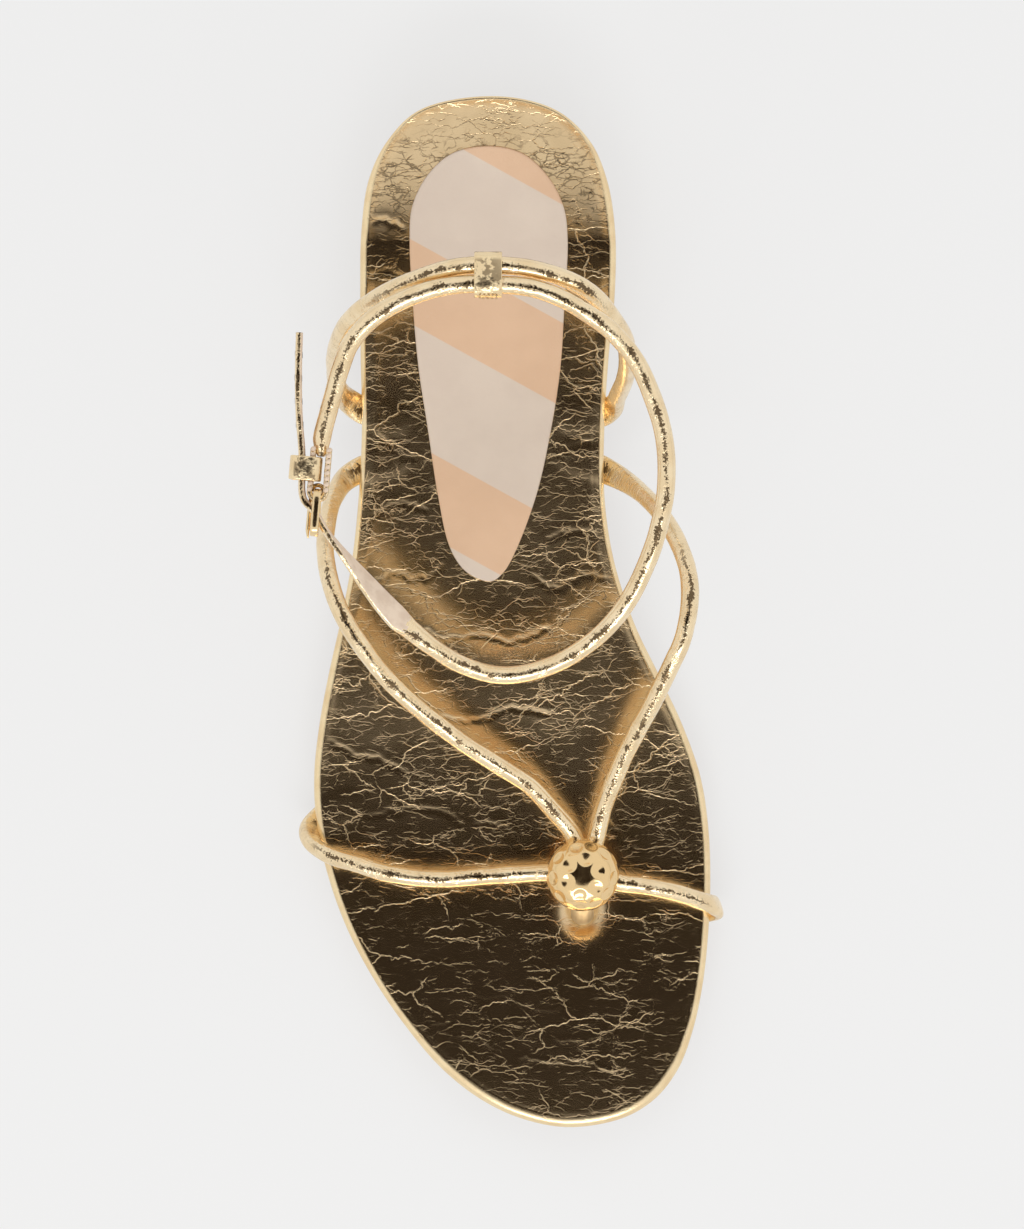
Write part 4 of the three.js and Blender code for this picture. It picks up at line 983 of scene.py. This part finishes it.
toe_route = toe_cord(TOE_STRAP, CORD_DIAMETER)
lateral_route = instep_cord(LATERAL_INSTEP)
medial_route = instep_cord(MEDIAL_INSTEP)
post_route = toe_cord(TOE_POST, POST_DIAMETER)
from_base = (post_route["run"][-1] - post_route["run"]) / POST_FLARE
post_route["half_width"] = post_route["half_width"] + POST_FLARE * np.clip(1 - from_base, 0, 1) ** 2
post_route["half_thickness"] = post_route["half_width"]


def make_strap(name, material, *routes):
    swept = [sweep_parts(route, 5.3 * (index + 1)) for index, route in enumerate(routes)]
    points, faces, uvs = join_parts(*swept)
    # The last argument says where the painted dark reflection along each cord's crest shows.
    return make_piece(name, points, faces, [material], uvs, None, level_parts(CORD_SIDES, *routes))


forefoot = make_strap("forefoot_straps_rolled", rolled_gold, toe_route, lateral_route, medial_route)
toe_post = make_strap("toe_post_rolled", worn_gold, post_route)


# Heel sling

def sling_point(row):
    place = route_point(row, ANKLE_HEIGHT)
    outward = place - plan_point(*ANKLE_MIDDLE)
    outward[2] = 0
    return place + unit(outward) * row[4] * (CORD_DIAMETER + GAP)


sling_route = lasted_cord(HEEL_SLING, [sling_point(row) for row in HEEL_SLING], CORD_DIAMETER)
heel_sling = make_strap("heel_sling_rolled", rolled_gold, sling_route)


# Buckle's own axes: forward along the strap, outward from the ankle, and up

bar_point = route_point(BUCKLE_BAR, ANKLE_HEIGHT)
yaw = math.radians(BUCKLE_YAW)
buckle_forward = np.array((math.sin(yaw), math.cos(yaw), 0.0))
buckle_outward = np.array((math.cos(yaw), -math.sin(yaw), 0.0))
buckle_up = np.array((0.0, 0.0, 1.0))


def buckle_space(forward, outward, up):
    return bar_point + buckle_forward * forward + buckle_outward * outward + buckle_up * up


window_start = BAR_WIDTH / 2
window_end = BUCKLE_LENGTH - BAR_WIDTH / 2 - BUCKLE_WALL
frame_end = window_end + BUCKLE_WALL
bar_radius = math.hypot(BAR_WIDTH / 2, BUCKLE_THICKNESS / 2 - 0.4)
fold_inside = bar_radius + GAP
fold_outside = fold_inside + TAB_LEATHER
prong_radius = PRONG_DIAMETER / 2
prong_ring = bar_radius + GAP / 2 + prong_radius
prong_rest = BUCKLE_THICKNESS / 2 + prong_radius + GAP / 2
keeper_start = prong_ring + prong_radius + GAP
over_fold = fold_outside + GAP + STRIP_THICKNESS / 2
under_frame = BUCKLE_THICKNESS / 2 + GAP + STRIP_THICKNESS / 2


def buckle_path():
    stray = STRIP_THICKNESS * FREE_END_STRAY
    rise = math.radians(38)
    return (
        (-FREE_END_LENGTH, over_fold + 3 * stray),
        (-0.72 * FREE_END_LENGTH, over_fold + 2.5 * stray),
        (-0.46 * FREE_END_LENGTH, over_fold + 1.7 * stray),
        (-TAB_LENGTH, over_fold + 0.8 * stray),
        (-TAB_LENGTH / 2, over_fold + 0.35 * stray),
        (0, over_fold + 0.1 * stray),
        ((over_fold + GAP / 2) * math.sin(rise), (over_fold + GAP / 2) * math.cos(rise)),
        ((window_start + window_end) / 2 + GAP, GAP / 2),
        (frame_end - BUCKLE_WALL * 0.7, -under_frame - STRIP_THICKNESS / 2),
    )


def ankle_route():
    path = buckle_path()
    anchor = ((-TAB_LENGTH * 0.93, 0.6), (-keeper_start - TAIL_KEEPER_WIDTH - GAP, 1))
    points = [buckle_space(forward, outward, 0) for forward, outward in path]
    points += [route_point(row, ANKLE_HEIGHT) for row in ANKLE_WRAP]
    points += [buckle_space(forward, 0, 0) for forward, _ in anchor]
    flats = [1] * len(path) + [row[3] for row in ANKLE_WRAP] + [flat for _, flat in anchor]
    leans = [0] * len(path) + [row[4] for row in ANKLE_WRAP] + [0] * len(anchor)
    route = sample_route(points, flats, leans)
    upright_frames(route)
    shape_route(route, CORD_DIAMETER, STRIP_WIDTH, STRIP_THICKNESS)
    return route, len(path)


def make_ankle_strap():
    """Gold outside and lining inside where the strap is a flat strip; gold all round where it is rolled."""
    route, path_rows = ankle_route()
    points, faces, uvs = sweep_parts(route, 31.7, STRIP_SIDES)
    kinds = [0] * len(faces)
    for index in range((len(route["centre"]) - 1) * STRIP_SIDES):
        step, side = divmod(index, STRIP_SIDES)
        flat, row = route["flat"][step], route["row"][step]
        if flat > 0.45 and row < path_rows + 6:
            outward = buckle_outward
            if row >= path_rows:
                outward = route["centre"][step] - plan_point(*ANKLE_MIDDLE)
                outward[2] = 0
            angle = (side + 1) / STRIP_SIDES * 2 * math.pi
            facing = math.sin(angle) * (route["deep"][step] @ unit(outward))
            lining_ends = LINED_FLATNESS + LINING_FRAY * noise.noise(Vector((side * 0.9, 0, 2.2)))
            kinds[index] = int(facing < -0.25 and flat > lining_ends)
    # Where the painted dark reflection along the crest shows.
    shown = level_parts(STRIP_SIDES, route)
    return make_piece("ankle_strap_rolled", points, faces, [rolled_gold, lining], uvs, kinds, shown), route


ankle_strap, ankle_stations = make_ankle_strap()


# Rings and bands: a rounded section carried along a path

def rounded_profile(half_across, half_deep, corner, start):
    """Twelve points round a section with rounded corners, from a starting angle in degrees."""
    profile = []
    for degrees in range(0, 360, 30):
        across, deep = math.cos(math.radians(degrees + start)), math.sin(math.radians(degrees + start))
        profile.append((
            math.copysign(half_across - corner, across + 1e-9) + corner * across,
            math.copysign(half_deep - corner, deep + 1e-9) + corner * deep,
        ))
    return profile


def make_tab():
    """Two layers of leather folded round the bar."""
    middle = (fold_inside + fold_outside) / 2
    path = [(mix(-TAB_LENGTH, 0, step / 8), -middle, 0.0, -1.0) for step in range(9)]
    for step in range(1, 24):
        angle = math.radians(-90 + 180 * step / 24)
        path.append((middle * math.cos(angle), middle * math.sin(angle), math.cos(angle), math.sin(angle)))
    path += [(mix(0, -TAB_LENGTH, step / 8), middle, 0.0, 1.0) for step in range(9)]
    profile = rounded_profile(STRIP_WIDTH / 2, TAB_LEATHER / 2, 0.35, 0)
    points = []
    for index, (forward, outward, out_forward, out_outward) in enumerate(path):
        pucker = 0.08 * noise.noise(Vector((index * 0.7, 4.4, 0)))
        for up, deep in profile:
            reach = deep + pucker
            points.append(buckle_space(forward + out_forward * reach, outward + out_outward * reach, up))
    sides = len(profile)
    faces = band_faces(len(path), sides)
    uvs = []
    for step, side in np.ndindex(len(path) - 1, sides):
        uvs.append(((step, side), (step, side + 1), (step + 1, side + 1), (step + 1, side)))
    for first in (0, len(points) - sides):
        faces.append(tuple(range(first, first + sides)))
        uvs.append(tuple((0.0, float(side)) for side in range(sides)))
    return make_piece("buckle_tab_folded", points, faces, [rolled_gold], uvs)


buckle_tab = make_tab()


def ring_piece(name, centres, outs, side_axis, half_out, half_side, corner, material):
    """centres are the section's middles, outs its outward directions, side_axis its width direction."""
    profile = rounded_profile(half_out, half_side, corner, 15)
    points = []
    for centre, out in zip(centres, outs):
        points += [centre + out * across + side_axis * side for across, side in profile]
    return make_piece(name, points, band_faces(len(centres), len(profile), True), [material])


def rounded_loop(left, right, bottom, top, radius):
    """Places and outward directions round a rounded rectangle."""
    arc_steps, side_steps = 8, 6
    corners = ((right - radius, bottom + radius, -90), (right - radius, top - radius, 0),
               (left + radius, top - radius, 90), (left + radius, bottom + radius, 180))
    places, outs = [], []
    for index, (x, y, start) in enumerate(corners):
        for step in range(arc_steps + 1):
            angle = math.radians(start + 90 * step / arc_steps)
            out = np.array((math.cos(angle), math.sin(angle)))
            places.append(np.array((x, y)) + out * radius)
            outs.append(out)
        following = corners[(index + 1) % 4]
        angle = math.radians(start + 90)
        out = np.array((math.cos(angle), math.sin(angle)))
        end = np.array(following[:2]) + out * radius
        begin = places[-1]
        for step in range(1, side_steps):
            places.append(mix(begin, end, step / side_steps))
            outs.append(out)
    return places, outs


def make_buckle_frame():
    wall = BUCKLE_WALL / 2
    half = BUCKLE_HEIGHT / 2 - wall
    places, outs = rounded_loop(wall - BAR_WIDTH / 2, frame_end - wall, -half, half, BUCKLE_CORNER)
    centres = [buckle_space(forward, 0, up) for forward, up in places]
    directions = [buckle_forward * forward + buckle_up * up for forward, up in outs]
    return ring_piece("buckle_frame_cast", centres, directions, buckle_outward, BUCKLE_WALL / 2,
                      BUCKLE_THICKNESS / 2, 0.25, buckle_gold)


def make_prong():
    """A wire looped round the bar whose tip rests on the far side of the frame."""
    wire = []
    for step in range(24, -1, -1):
        angle = math.radians(60 - 330 * step / 24)
        wire.append((prong_ring * math.cos(angle), prong_ring * math.sin(angle)))
    for step in range(1, 7):
        rise = mix(prong_ring * 0.9, prong_rest, min(1, step / 3))
        wire.append((mix(prong_ring * 0.5, window_end, step / 6), rise))
    wire += [(frame_end - BUCKLE_WALL / 2, prong_rest), (frame_end + PRONG_DIAMETER / 2, prong_rest - 0.25)]
    knots = [buckle_space(forward, outward, 0) for forward, outward in wire]
    centres, tangents = centripetal(knots, 3, False)
    count = len(centres)
    half = np.full(count, prong_radius)
    half[-6:] = np.linspace(prong_radius, prong_radius * 0.45, 6)
    across = np.tile(buckle_up, (count, 1))
    route = {"centre": centres, "flat": np.zeros(count), "run": np.arange(count) * 0.3, "half_width": half,
             "half_thickness": half, "across": across, "deep": np.cross(tangents, across)}
    points, faces, uvs = sweep_parts(route, 0, sides=14, wrinkle=0)
    return make_piece("buckle_prong_wire", points, faces, [buckle_gold], uvs)


def make_tail_keeper():
    wall = KEEPER_WALL
    inside = -wall / 2
    outside = over_fold + STRIP_THICKNESS * 1.3 + KEEPER_SLACK + wall
    half = STRIP_WIDTH / 2 + KEEPER_SLACK + wall
    places, outs = rounded_loop(inside + wall / 2, outside - wall / 2, wall / 2 - half, half - wall / 2, 1.3)
    middle, reach = (inside + outside) / 2, (outside - inside) / 2
    places = [np.array((x, up * (1 + 0.09 * (1 - ((x - middle) / reach) ** 2)))) for x, up in places]
    forward = -keeper_start - TAIL_KEEPER_WIDTH / 2
    centres = [buckle_space(forward, outward, up) for outward, up in places]
    directions = [buckle_outward * outward + buckle_up * up for outward, up in outs]
    return ring_piece("tail_keeper_leather", centres, directions, buckle_forward, wall / 2,
                      TAIL_KEEPER_WIDTH / 2, 0.4, wrinkled_gold_with_painted_reflection)


def back_of(route):
    behind = [c for c in route["centre"] if c[1] < plan_point(ANKLE_MIDDLE[0], 0)[1] - CORD_DIAMETER]
    return min(behind, key=lambda centre: abs(centre[0]))


def make_back_keeper():
    outer, inner = back_of(sling_route), back_of(ankle_stations)
    middle = (outer + inner) / 2
    line = inner - outer
    line[0] = 0
    half_span = np.linalg.norm(line) / 2
    x_axis = unit(line)
    z_axis = np.array((1.0, 0.0, 0.0))
    y_axis = np.cross(z_axis, x_axis)
    radius = CORD_DIAMETER / 2 + GAP + BACK_KEEPER_WALL / 2
    centres, directions = [], []
    for start, offset in ((-90, half_span), (90, -half_span)):
        for step in range(17):
            angle = math.radians(start + 180 * step / 16)
            out = x_axis * math.cos(angle) + y_axis * math.sin(angle)
            centres.append(middle + x_axis * offset + out * radius)
            directions.append(out)
    return ring_piece("back_keeper_leather", centres, directions, z_axis, BACK_KEEPER_WALL / 2,
                      BACK_KEEPER_WIDTH / 2, 0.3, wrinkled_gold_with_painted_reflection), middle, x_axis, y_axis, half_span, radius


buckle_frame = make_buckle_frame()
buckle_prong = make_prong()
tail_keeper = make_tail_keeper()
back_keeper, keeper_middle, keeper_x, keeper_y, keeper_span, keeper_radius = make_back_keeper()


# Pieces that follow a rule, grown by node trees

def rule_tree(name, inputs):
    tree = bpy.data.node_groups.new(name, "GeometryNodeTree")
    tree.interface.new_socket("Geometry", in_out="INPUT", socket_type="NodeSocketGeometry")
    for label, (kind, value) in inputs.items():
        socket = tree.interface.new_socket(label, in_out="INPUT", socket_type="NodeSocket" + kind)
        if value is not None:
            socket.default_value = value
    tree.interface.new_socket("Geometry", in_out="OUTPUT", socket_type="NodeSocketGeometry")
    return tree, node(tree, "NodeGroupInput").outputs


def close_tree(tree, geometry, material):
    whole = add(tree, "GeometryNodeRealizeInstances", {0: geometry})
    painted = add(tree, "GeometryNodeSetMaterial", {"Geometry": whole, "Material": material})
    node(tree, "NodeGroupOutput", {0: painted})
    return tree


def spaced_points(tree, inputs):
    curve = add(tree, "GeometryNodeMeshToCurve", {"Mesh": inputs["Geometry"]})
    return add(tree, "GeometryNodeResampleCurve", {"Curve": curve, "Length": inputs["Pitch"]}, mode="LENGTH")


def grow_piece(name, base, tree, sizes):
    """Runs a tree on a base mesh and keeps the result as a plain mesh."""
    carrier = show(name + "_base", base)
    modifier = carrier.modifiers.new("rule", "NODES")
    modifier.node_group = tree
    for item in tree.interface.items_tree:
        if item.in_out == "INPUT" and item.name in sizes:
            modifier[item.identifier] = sizes[item.name]
    bpy.context.view_layer.update()
    ready = carrier.evaluated_get(bpy.context.evaluated_depsgraph_get())
    mesh = bpy.data.meshes.new_from_object(ready)
    mesh.name = name
    bpy.data.objects.remove(carrier)
    shade_smooth(mesh)
    return show(name, mesh)


def chain_mesh(name, *chains, closed=False):
    """Chains of edges, each through its own points."""
    points, edges = [], []
    for chain in chains:
        start = len(points)
        points.extend(chain)
        edges.extend((step, step + 1) for step in range(start, len(points) - 1))
    if closed:
        edges.append((len(points) - 1, 0))
    return bare_mesh(name, points, edges)


def hammered_dome_tree():
    """A ball dented where the base's points lie on it, its underside pressed flat at the seat."""
    tree, inputs = rule_tree("hammered_dome", {
        "Radius": ("Float", 0.0086), "Height": ("Float", 0.0082), "Fullness": ("Float", 2.7),
        "Mark Radius": ("Float", 0.0025), "Depth": ("Float", 0.0005),
        "Seat": ("Float", -0.0016), "Centre": ("Vector", (0, 0, 0)), "Material": ("Material", None),
    })
    marks = add(tree, "GeometryNodeMeshToPoints", {"Mesh": inputs["Geometry"]})
    ball = add(tree, "GeometryNodeMeshIcoSphere", {"Radius": inputs["Radius"], "Subdivisions": 6}, "Mesh")
    along = add(tree, "GeometryNodeInputPosition")
    sides = parts_of(tree, along)
    level = joined(tree, sides[0], sides[1])
    level = add(tree, "ShaderNodeVectorMath", {0: level}, "Value", operation="LENGTH")
    level = math_node(tree, "POWER", math_node(tree, "DIVIDE", level, inputs["Radius"]), inputs["Fullness"])
    rise = math_node(tree, "DIVIDE", math_node(tree, "ABSOLUTE", sides[2]), inputs["Height"])
    total = math_node(tree, "ADD", level, math_node(tree, "POWER", rise, inputs["Fullness"]))
    full = math_node(tree, "POWER", total, math_node(tree, "DIVIDE", -1.0, inputs["Fullness"]))
    near = add(tree, "GeometryNodeProximity", {"Geometry": marks}, "Distance", target_element="POINTS")
    reach = math_node(tree, "DIVIDE", near, inputs["Mark Radius"])
    bowl = math_node(tree, "SUBTRACT", 1.0, product(tree, reach, reach))
    sink = product(tree, math_node(tree, "MAXIMUM", bowl, 0.0), inputs["Depth"], -1.0)
    dented = add(tree, "GeometryNodeSetPosition", {
        "Geometry": ball, "Position": scaled(tree, along, full),
        "Offset": scaled(tree, add(tree, "GeometryNodeInputNormal"), sink),
    })
    parts = parts_of(tree, add(tree, "GeometryNodeInputPosition"))
    held = joined(tree, parts[0], parts[1], math_node(tree, "MAXIMUM", parts[2], inputs["Seat"]))
    seated = add(tree, "GeometryNodeSetPosition", {"Geometry": dented, "Position": held})
    moved = add(tree, "GeometryNodeTransform", {"Geometry": seated, "Translation": inputs["Centre"]})
    return close_tree(tree, moved, inputs["Material"])


def stitch_tree():
    """Short rounded stitches, or beads, set end to end along a chain."""
    tree, inputs = rule_tree("stitches_along", {
        "Pitch": ("Float", 0.004), "Length": ("Float", 0.003), "Thickness": ("Float", 0.0006),
        "Slant": ("Float", 0.0), "Sides": ("Int", 8), "Material": ("Material", None),
    })
    spaced = spaced_points(tree, inputs)
    ahead = add(tree, "GeometryNodeInputTangent")
    turn = add(tree, "FunctionNodeAlignRotationToVector", {"Vector": ahead}, axis="X")
    slant = add(tree, "FunctionNodeEulerToRotation", {0: joined(tree, z=inputs["Slant"])})
    turn = add(tree, "FunctionNodeRotateRotation", {"Rotation": turn, "Rotate By": slant},
               rotation_space="LOCAL")
    bead = add(tree, "GeometryNodeMeshUVSphere", {
        "Segments": inputs["Sides"], "Rings": 6, "Radius": 0.5,
    }, "Mesh")
    size = joined(tree, inputs["Length"], inputs["Thickness"], inputs["Thickness"])
    points = add(tree, "GeometryNodeInstanceOnPoints", {
        "Points": spaced, "Instance": bead, "Rotation": turn, "Scale": size,
    })
    return close_tree(tree, points, inputs["Material"])


def hole_tree():
    """Discs at an even pitch along a chain, each turned the way the Facing input says."""
    tree, inputs = rule_tree("punched_holes", {
        "Pitch": ("Float", 0.005), "Radius": ("Float", 0.0008), "Depth": ("Float", 0.00008),
        "Facing": ("Vector", (1, 0, 0)), "Material": ("Material", None),
    })
    spaced = spaced_points(tree, inputs)
    disc = add(tree, "GeometryNodeMeshCylinder", {
        "Vertices": 20, "Radius": inputs["Radius"], "Depth": inputs["Depth"],
    }, "Mesh")
    turn = add(tree, "FunctionNodeAlignRotationToVector", {"Vector": inputs["Facing"]}, axis="Z")
    points = add(tree, "GeometryNodeInstanceOnPoints", {"Points": spaced, "Instance": disc, "Rotation": turn})
    return close_tree(tree, points, inputs["Material"])


def rib_tree():
    """Low ribs at a base's points, each as long as the rib_length there says."""
    tree, inputs = rule_tree("tread_ribs", {
        "Width": ("Float", 0.0018), "Height": ("Float", 0.0007), "Material": ("Material", None),
    })
    length = add(tree, "GeometryNodeInputNamedAttribute", {"Name": "rib_length"}, data_type="FLOAT")
    bar = add(tree, "GeometryNodeMeshCube", {"Size": (1, 1, 1), "Vertices X": 6}, "Mesh")
    size = joined(tree, length, inputs["Width"], inputs["Height"])
    points = add(tree, "GeometryNodeMeshToPoints", {"Mesh": inputs["Geometry"]})
    placed = add(tree, "GeometryNodeInstanceOnPoints", {"Points": points, "Instance": bar, "Scale": size})
    return close_tree(tree, placed, inputs["Material"])


def hammer_marks():
    """Places of the hammer's marks on the ball, in rings from its top down."""
    places = []
    for tilt, count, start in HAMMER_RINGS:
        for mark in range(count):
            turn = math.radians(start + 360 * mark / count) + 0.3 * noise.noise(Vector((mark * 1.7, tilt, 0)))
            lean = math.radians(tilt + 12 * noise.noise(Vector((mark * 2.3, tilt, 5))))
            flat = math.sin(lean)
            places.append(np.array((flat * math.cos(turn), flat * math.sin(turn), math.cos(lean))))
    return np.array(places) * ORNAMENT_DIAMETER / 2


dome_centre = crossing_point + np.array((0, 0, ORNAMENT_CREST))
dome = grow_piece("ornament_hammered", bare_mesh("ornament_marks", hammer_marks()), hammered_dome_tree(), {
    "Radius": ORNAMENT_DIAMETER / 2000,
    "Height": ORNAMENT_DIAMETER / 2000 * ORNAMENT_TALLNESS,
    "Fullness": ORNAMENT_FULLNESS,
    "Mark Radius": HAMMER_MARK / 2000,
    "Depth": HAMMER_DEPTH / 1000,
    "Seat": (ORNAMENT_SEAT - ORNAMENT_CREST) / 1000,
    "Centre": tuple(dome_centre * 0.001),
    "Material": hammered_gold,
})

stitches = stitch_tree()


def stitched(name, base, pitch, length, thickness, slant, sides, material):
    """A row of stitches along a chain; the slant is in radians."""
    return grow_piece(name, base, stitches, {
        "Pitch": pitch / 1000, "Length": length / 1000, "Thickness": thickness / 1000,
        "Slant": slant, "Sides": sides, "Material": material,
    })


def sole_stitching():
    points, inward, _ = sole_outline
    ring = points[::4] + inward[::4] * (OUTSOLE_STEP + 4.2)
    ring = ring[(ring[:, 1] > HEEL_LENGTH / 2 + 2)]
    start = int(np.argmax(np.linalg.norm(np.diff(ring, axis=0), axis=1))) + 1
    ring = np.roll(ring, -start, axis=0)
    path = np.column_stack((ring, underside_height(along_of(ring[:, 1])) + 0.42))
    return stitched("sole_stitching", chain_mesh("stitch_path", path), 4.2, 3.2, 0.8, 0.0, 6, thread)


def tab_edges():
    """The turned edges of the tab's two layers, puckered like a row of beads."""
    middle = (fold_inside + fold_outside) / 2
    chains = []
    for side in (-1, 1):
        for up in (STRIP_WIDTH / 2, -STRIP_WIDTH / 2):
            along = [mix(-TAB_LENGTH, -0.5, step / 12) for step in range(13)]
            chains.append([buckle_space(forward, side * middle, up) for forward in along])
    base = chain_mesh("tab_edge_path", *chains)
    return stitched("tab_edges_puckered", base, 1.3, 1.15, 1.4, 0.6, 10, lining)


def keeper_stitches():
    """A small stitched box where the back keeper's end is sewn down, on its front."""
    half = BACK_KEEPER_WIDTH / 2 - 1.3
    front = keeper_middle + keeper_x * (keeper_span + keeper_radius + BACK_KEEPER_WALL / 2)
    across = np.array((1.0, 0.0, 0.0))
    corners = ((-half, -1.1), (half, -1.1), (half, 1.1), (-half, 1.1))
    path = [front + across * x + keeper_y * y - keeper_x * 0.02 for x, y in corners]
    base = chain_mesh("keeper_path", path, closed=True)
    return stitched("keeper_stitches", base, 1.05, 0.8, 0.3, 0.0, 6, thread)


def strap_holes():
    """Dark discs for the prong's holes along the strap's free end, on both faces: painted shade standing for
    the holes.
    """
    free_end = ankle_stations["centre"][:3 * ROUTE_STEPS] - bar_point
    forward = np.linspace(-FREE_END_LENGTH + 5, -FREE_END_LENGTH + 21, 9)
    outward = np.interp(forward, free_end @ buckle_forward, free_end @ buckle_outward)
    facing = unit(buckle_outward - buckle_forward * (outward[-1] - outward[0]) / (forward[-1] - forward[0]))
    reach = STRIP_THICKNESS / 2 + 0.01
    chains = [[buckle_space(*place, 0) for place in zip(forward, outward + face)] for face in (-reach, reach)]
    return grow_piece("strap_holes", chain_mesh("hole_path", *chains), hole_tree(), {
        "Pitch": 0.0053, "Radius": 0.00075, "Depth": 0.0001, "Facing": tuple(facing), "Material": hole_painted_shade,
    })


def tread_ribs():
    """Cross ribs under the ball and toes, each as long as the sole is wide there."""
    outline = sole_outline[0]
    half = len(outline) // 2
    lateral, medial = outline[:half], outline[half:][::-1]
    points, lengths = [], []
    for along in np.arange(0.6, 0.95, 0.0145):
        y = along * SOLE_LENGTH - HEEL_LENGTH / 2
        right = np.interp(y, lateral[:, 1], lateral[:, 0]) - OUTSOLE_STEP - 7
        left = np.interp(y, medial[:, 1], medial[:, 0]) + OUTSOLE_STEP + 7
        if right - left >= 12:
            points.append(((right + left) / 2, y, underside_height(along) + 0.31))
            lengths.append((right - left) / 1000)
    base = bare_mesh("rib_path", points)
    write_layer(base, "rib_length", lengths)
    sizes = {"Width": 0.0017, "Height": 0.0006, "Material": sole_rubber}
    grown = grow_piece("tread_ribs", base, rib_tree(), sizes)
    shade_smooth(grown.data, False)
    return grown


sole_stitches = sole_stitching()
tab_edging = tab_edges()
keeper_stitching = keeper_stitches()
holes = strap_holes()
ribs = tread_ribs()


# Floor, light and camera

def pale_floor():
    material, tree, surface = new_material("pale_floor")
    feed(tree, surface, {
        "Base Color": (0.25, 0.25, 0.25, 1), "Roughness": 0.9, "Specular IOR Level": 0.0,
        "Emission Color": (1, 1, 1, 1), "Emission Strength": 0.625,
    })
    reach = 4000
    corners = [(-reach, -reach, 0), (reach, -reach, 0), (reach, reach, 0), (-reach, reach, 0)]
    mesh = bare_mesh("floor", corners, (), [(0, 1, 2, 3)])
    mesh.materials.append(material)
    return show("floor", mesh)


def studio_sky():
    """A bright tent with a dark opening over the camera, drawn out toward the heel."""
    world = bpy.data.worlds.new("studio")
    bpy.context.scene.world = world
    world.use_nodes = True
    tree = world.node_tree
    tree.nodes.clear()
    parts = parts_of(tree, add(tree, "ShaderNodeTexCoord", None, "Generated"))
    x = math_node(tree, "DIVIDE", parts[0], 0.38)
    y = math_node(tree, "DIVIDE", math_node(tree, "ADD", parts[1], 0.09), 0.33)
    away = math_node(tree, "SQRT", math_node(tree, "ADD", product(tree, x, x), product(tree, y, y)))
    tent = ramp_between(tree, away, 0.9, 1.02)
    colour = blend(tree, tent, (0.022, 0.015, 0.009, 1), (0.91, 0.9, 0.885, 1))
    above = ramp_between(tree, parts[2], -0.05, 0.3, 0.8, 1.0)
    glow = add(tree, "ShaderNodeBackground", {"Color": colour, "Strength": above})
    node(tree, "ShaderNodeOutputWorld", {"Surface": glow})


def softbox(name, place, target, width, depth, power):
    light = bpy.data.lights.new(name, "AREA")
    light.shape = "RECTANGLE"
    light.size, light.size_y = width, depth
    light.energy = power
    lamp = show(name, light)
    lamp.location = place
    lamp.rotation_euler = (Vector(target) - Vector(place)).to_track_quat("-Z", "Y").to_euler()


def overhead_camera():
    """Straight above the sole, with the heel at the top of the picture."""
    data = bpy.data.cameras.new("camera")
    data.sensor_width = 36
    data.lens = 219.9
    data.clip_start, data.clip_end = 0.1, 20
    camera = show("camera", data)
    camera.location = (-0.00536, 0.09285, 1.8)
    camera.rotation_euler = (0, 0, math.pi)
    bpy.context.scene.camera = camera


pale_floor()
studio_sky()
softbox("strip", (0.0, 1.08, 0.98), (0, 0.09, 0), 1.1, 0.32, 5)
overhead_camera()
bpy.context.scene.view_settings.view_transform = "Standard"


# What each piece stands for

dressed = (
    (footbed, "footbed_leather", ("footbed",)),
    (outsole, "sole_rubber", ("outsole",)),
    (sole_stitches, "sole_rubber", ()),
    (ribs, "sole_rubber", ()),
    (heel, "heel_leather", ("heel",)),
    (heel_lift, "lift_rubber", ("heel_lift",)),
    (heel_sock, "sock_leather", ("heel_sock",)),
    (forefoot, "cord_leather", ("forefoot_straps",)),
    (toe_post, "cord_leather", ("forefoot_straps",)),
    (dome, "gold_metal", ("ornament",)),
    (heel_sling, "cord_leather", ("heel_sling",)),
    (ankle_strap, "cord_leather", ("ankle_strap",)),
    (buckle_tab, "cord_leather", ("ankle_strap",)),
    (tab_edging, "cord_leather", ()),
    (holes, "cord_leather", ()),
    (back_keeper, "footbed_leather", ("back_keeper",)),
    (keeper_stitching, "footbed_leather", ()),
    (tail_keeper, "cord_leather", ("tail_keeper",)),
    (buckle_frame, "gold_metal", ("buckle_frame",)),
    (buckle_prong, "gold_metal", ("buckle_prong",)),
)
for piece, slot, nodes in dressed:
    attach(piece, "root")
    if nodes:
        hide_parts(*nodes)
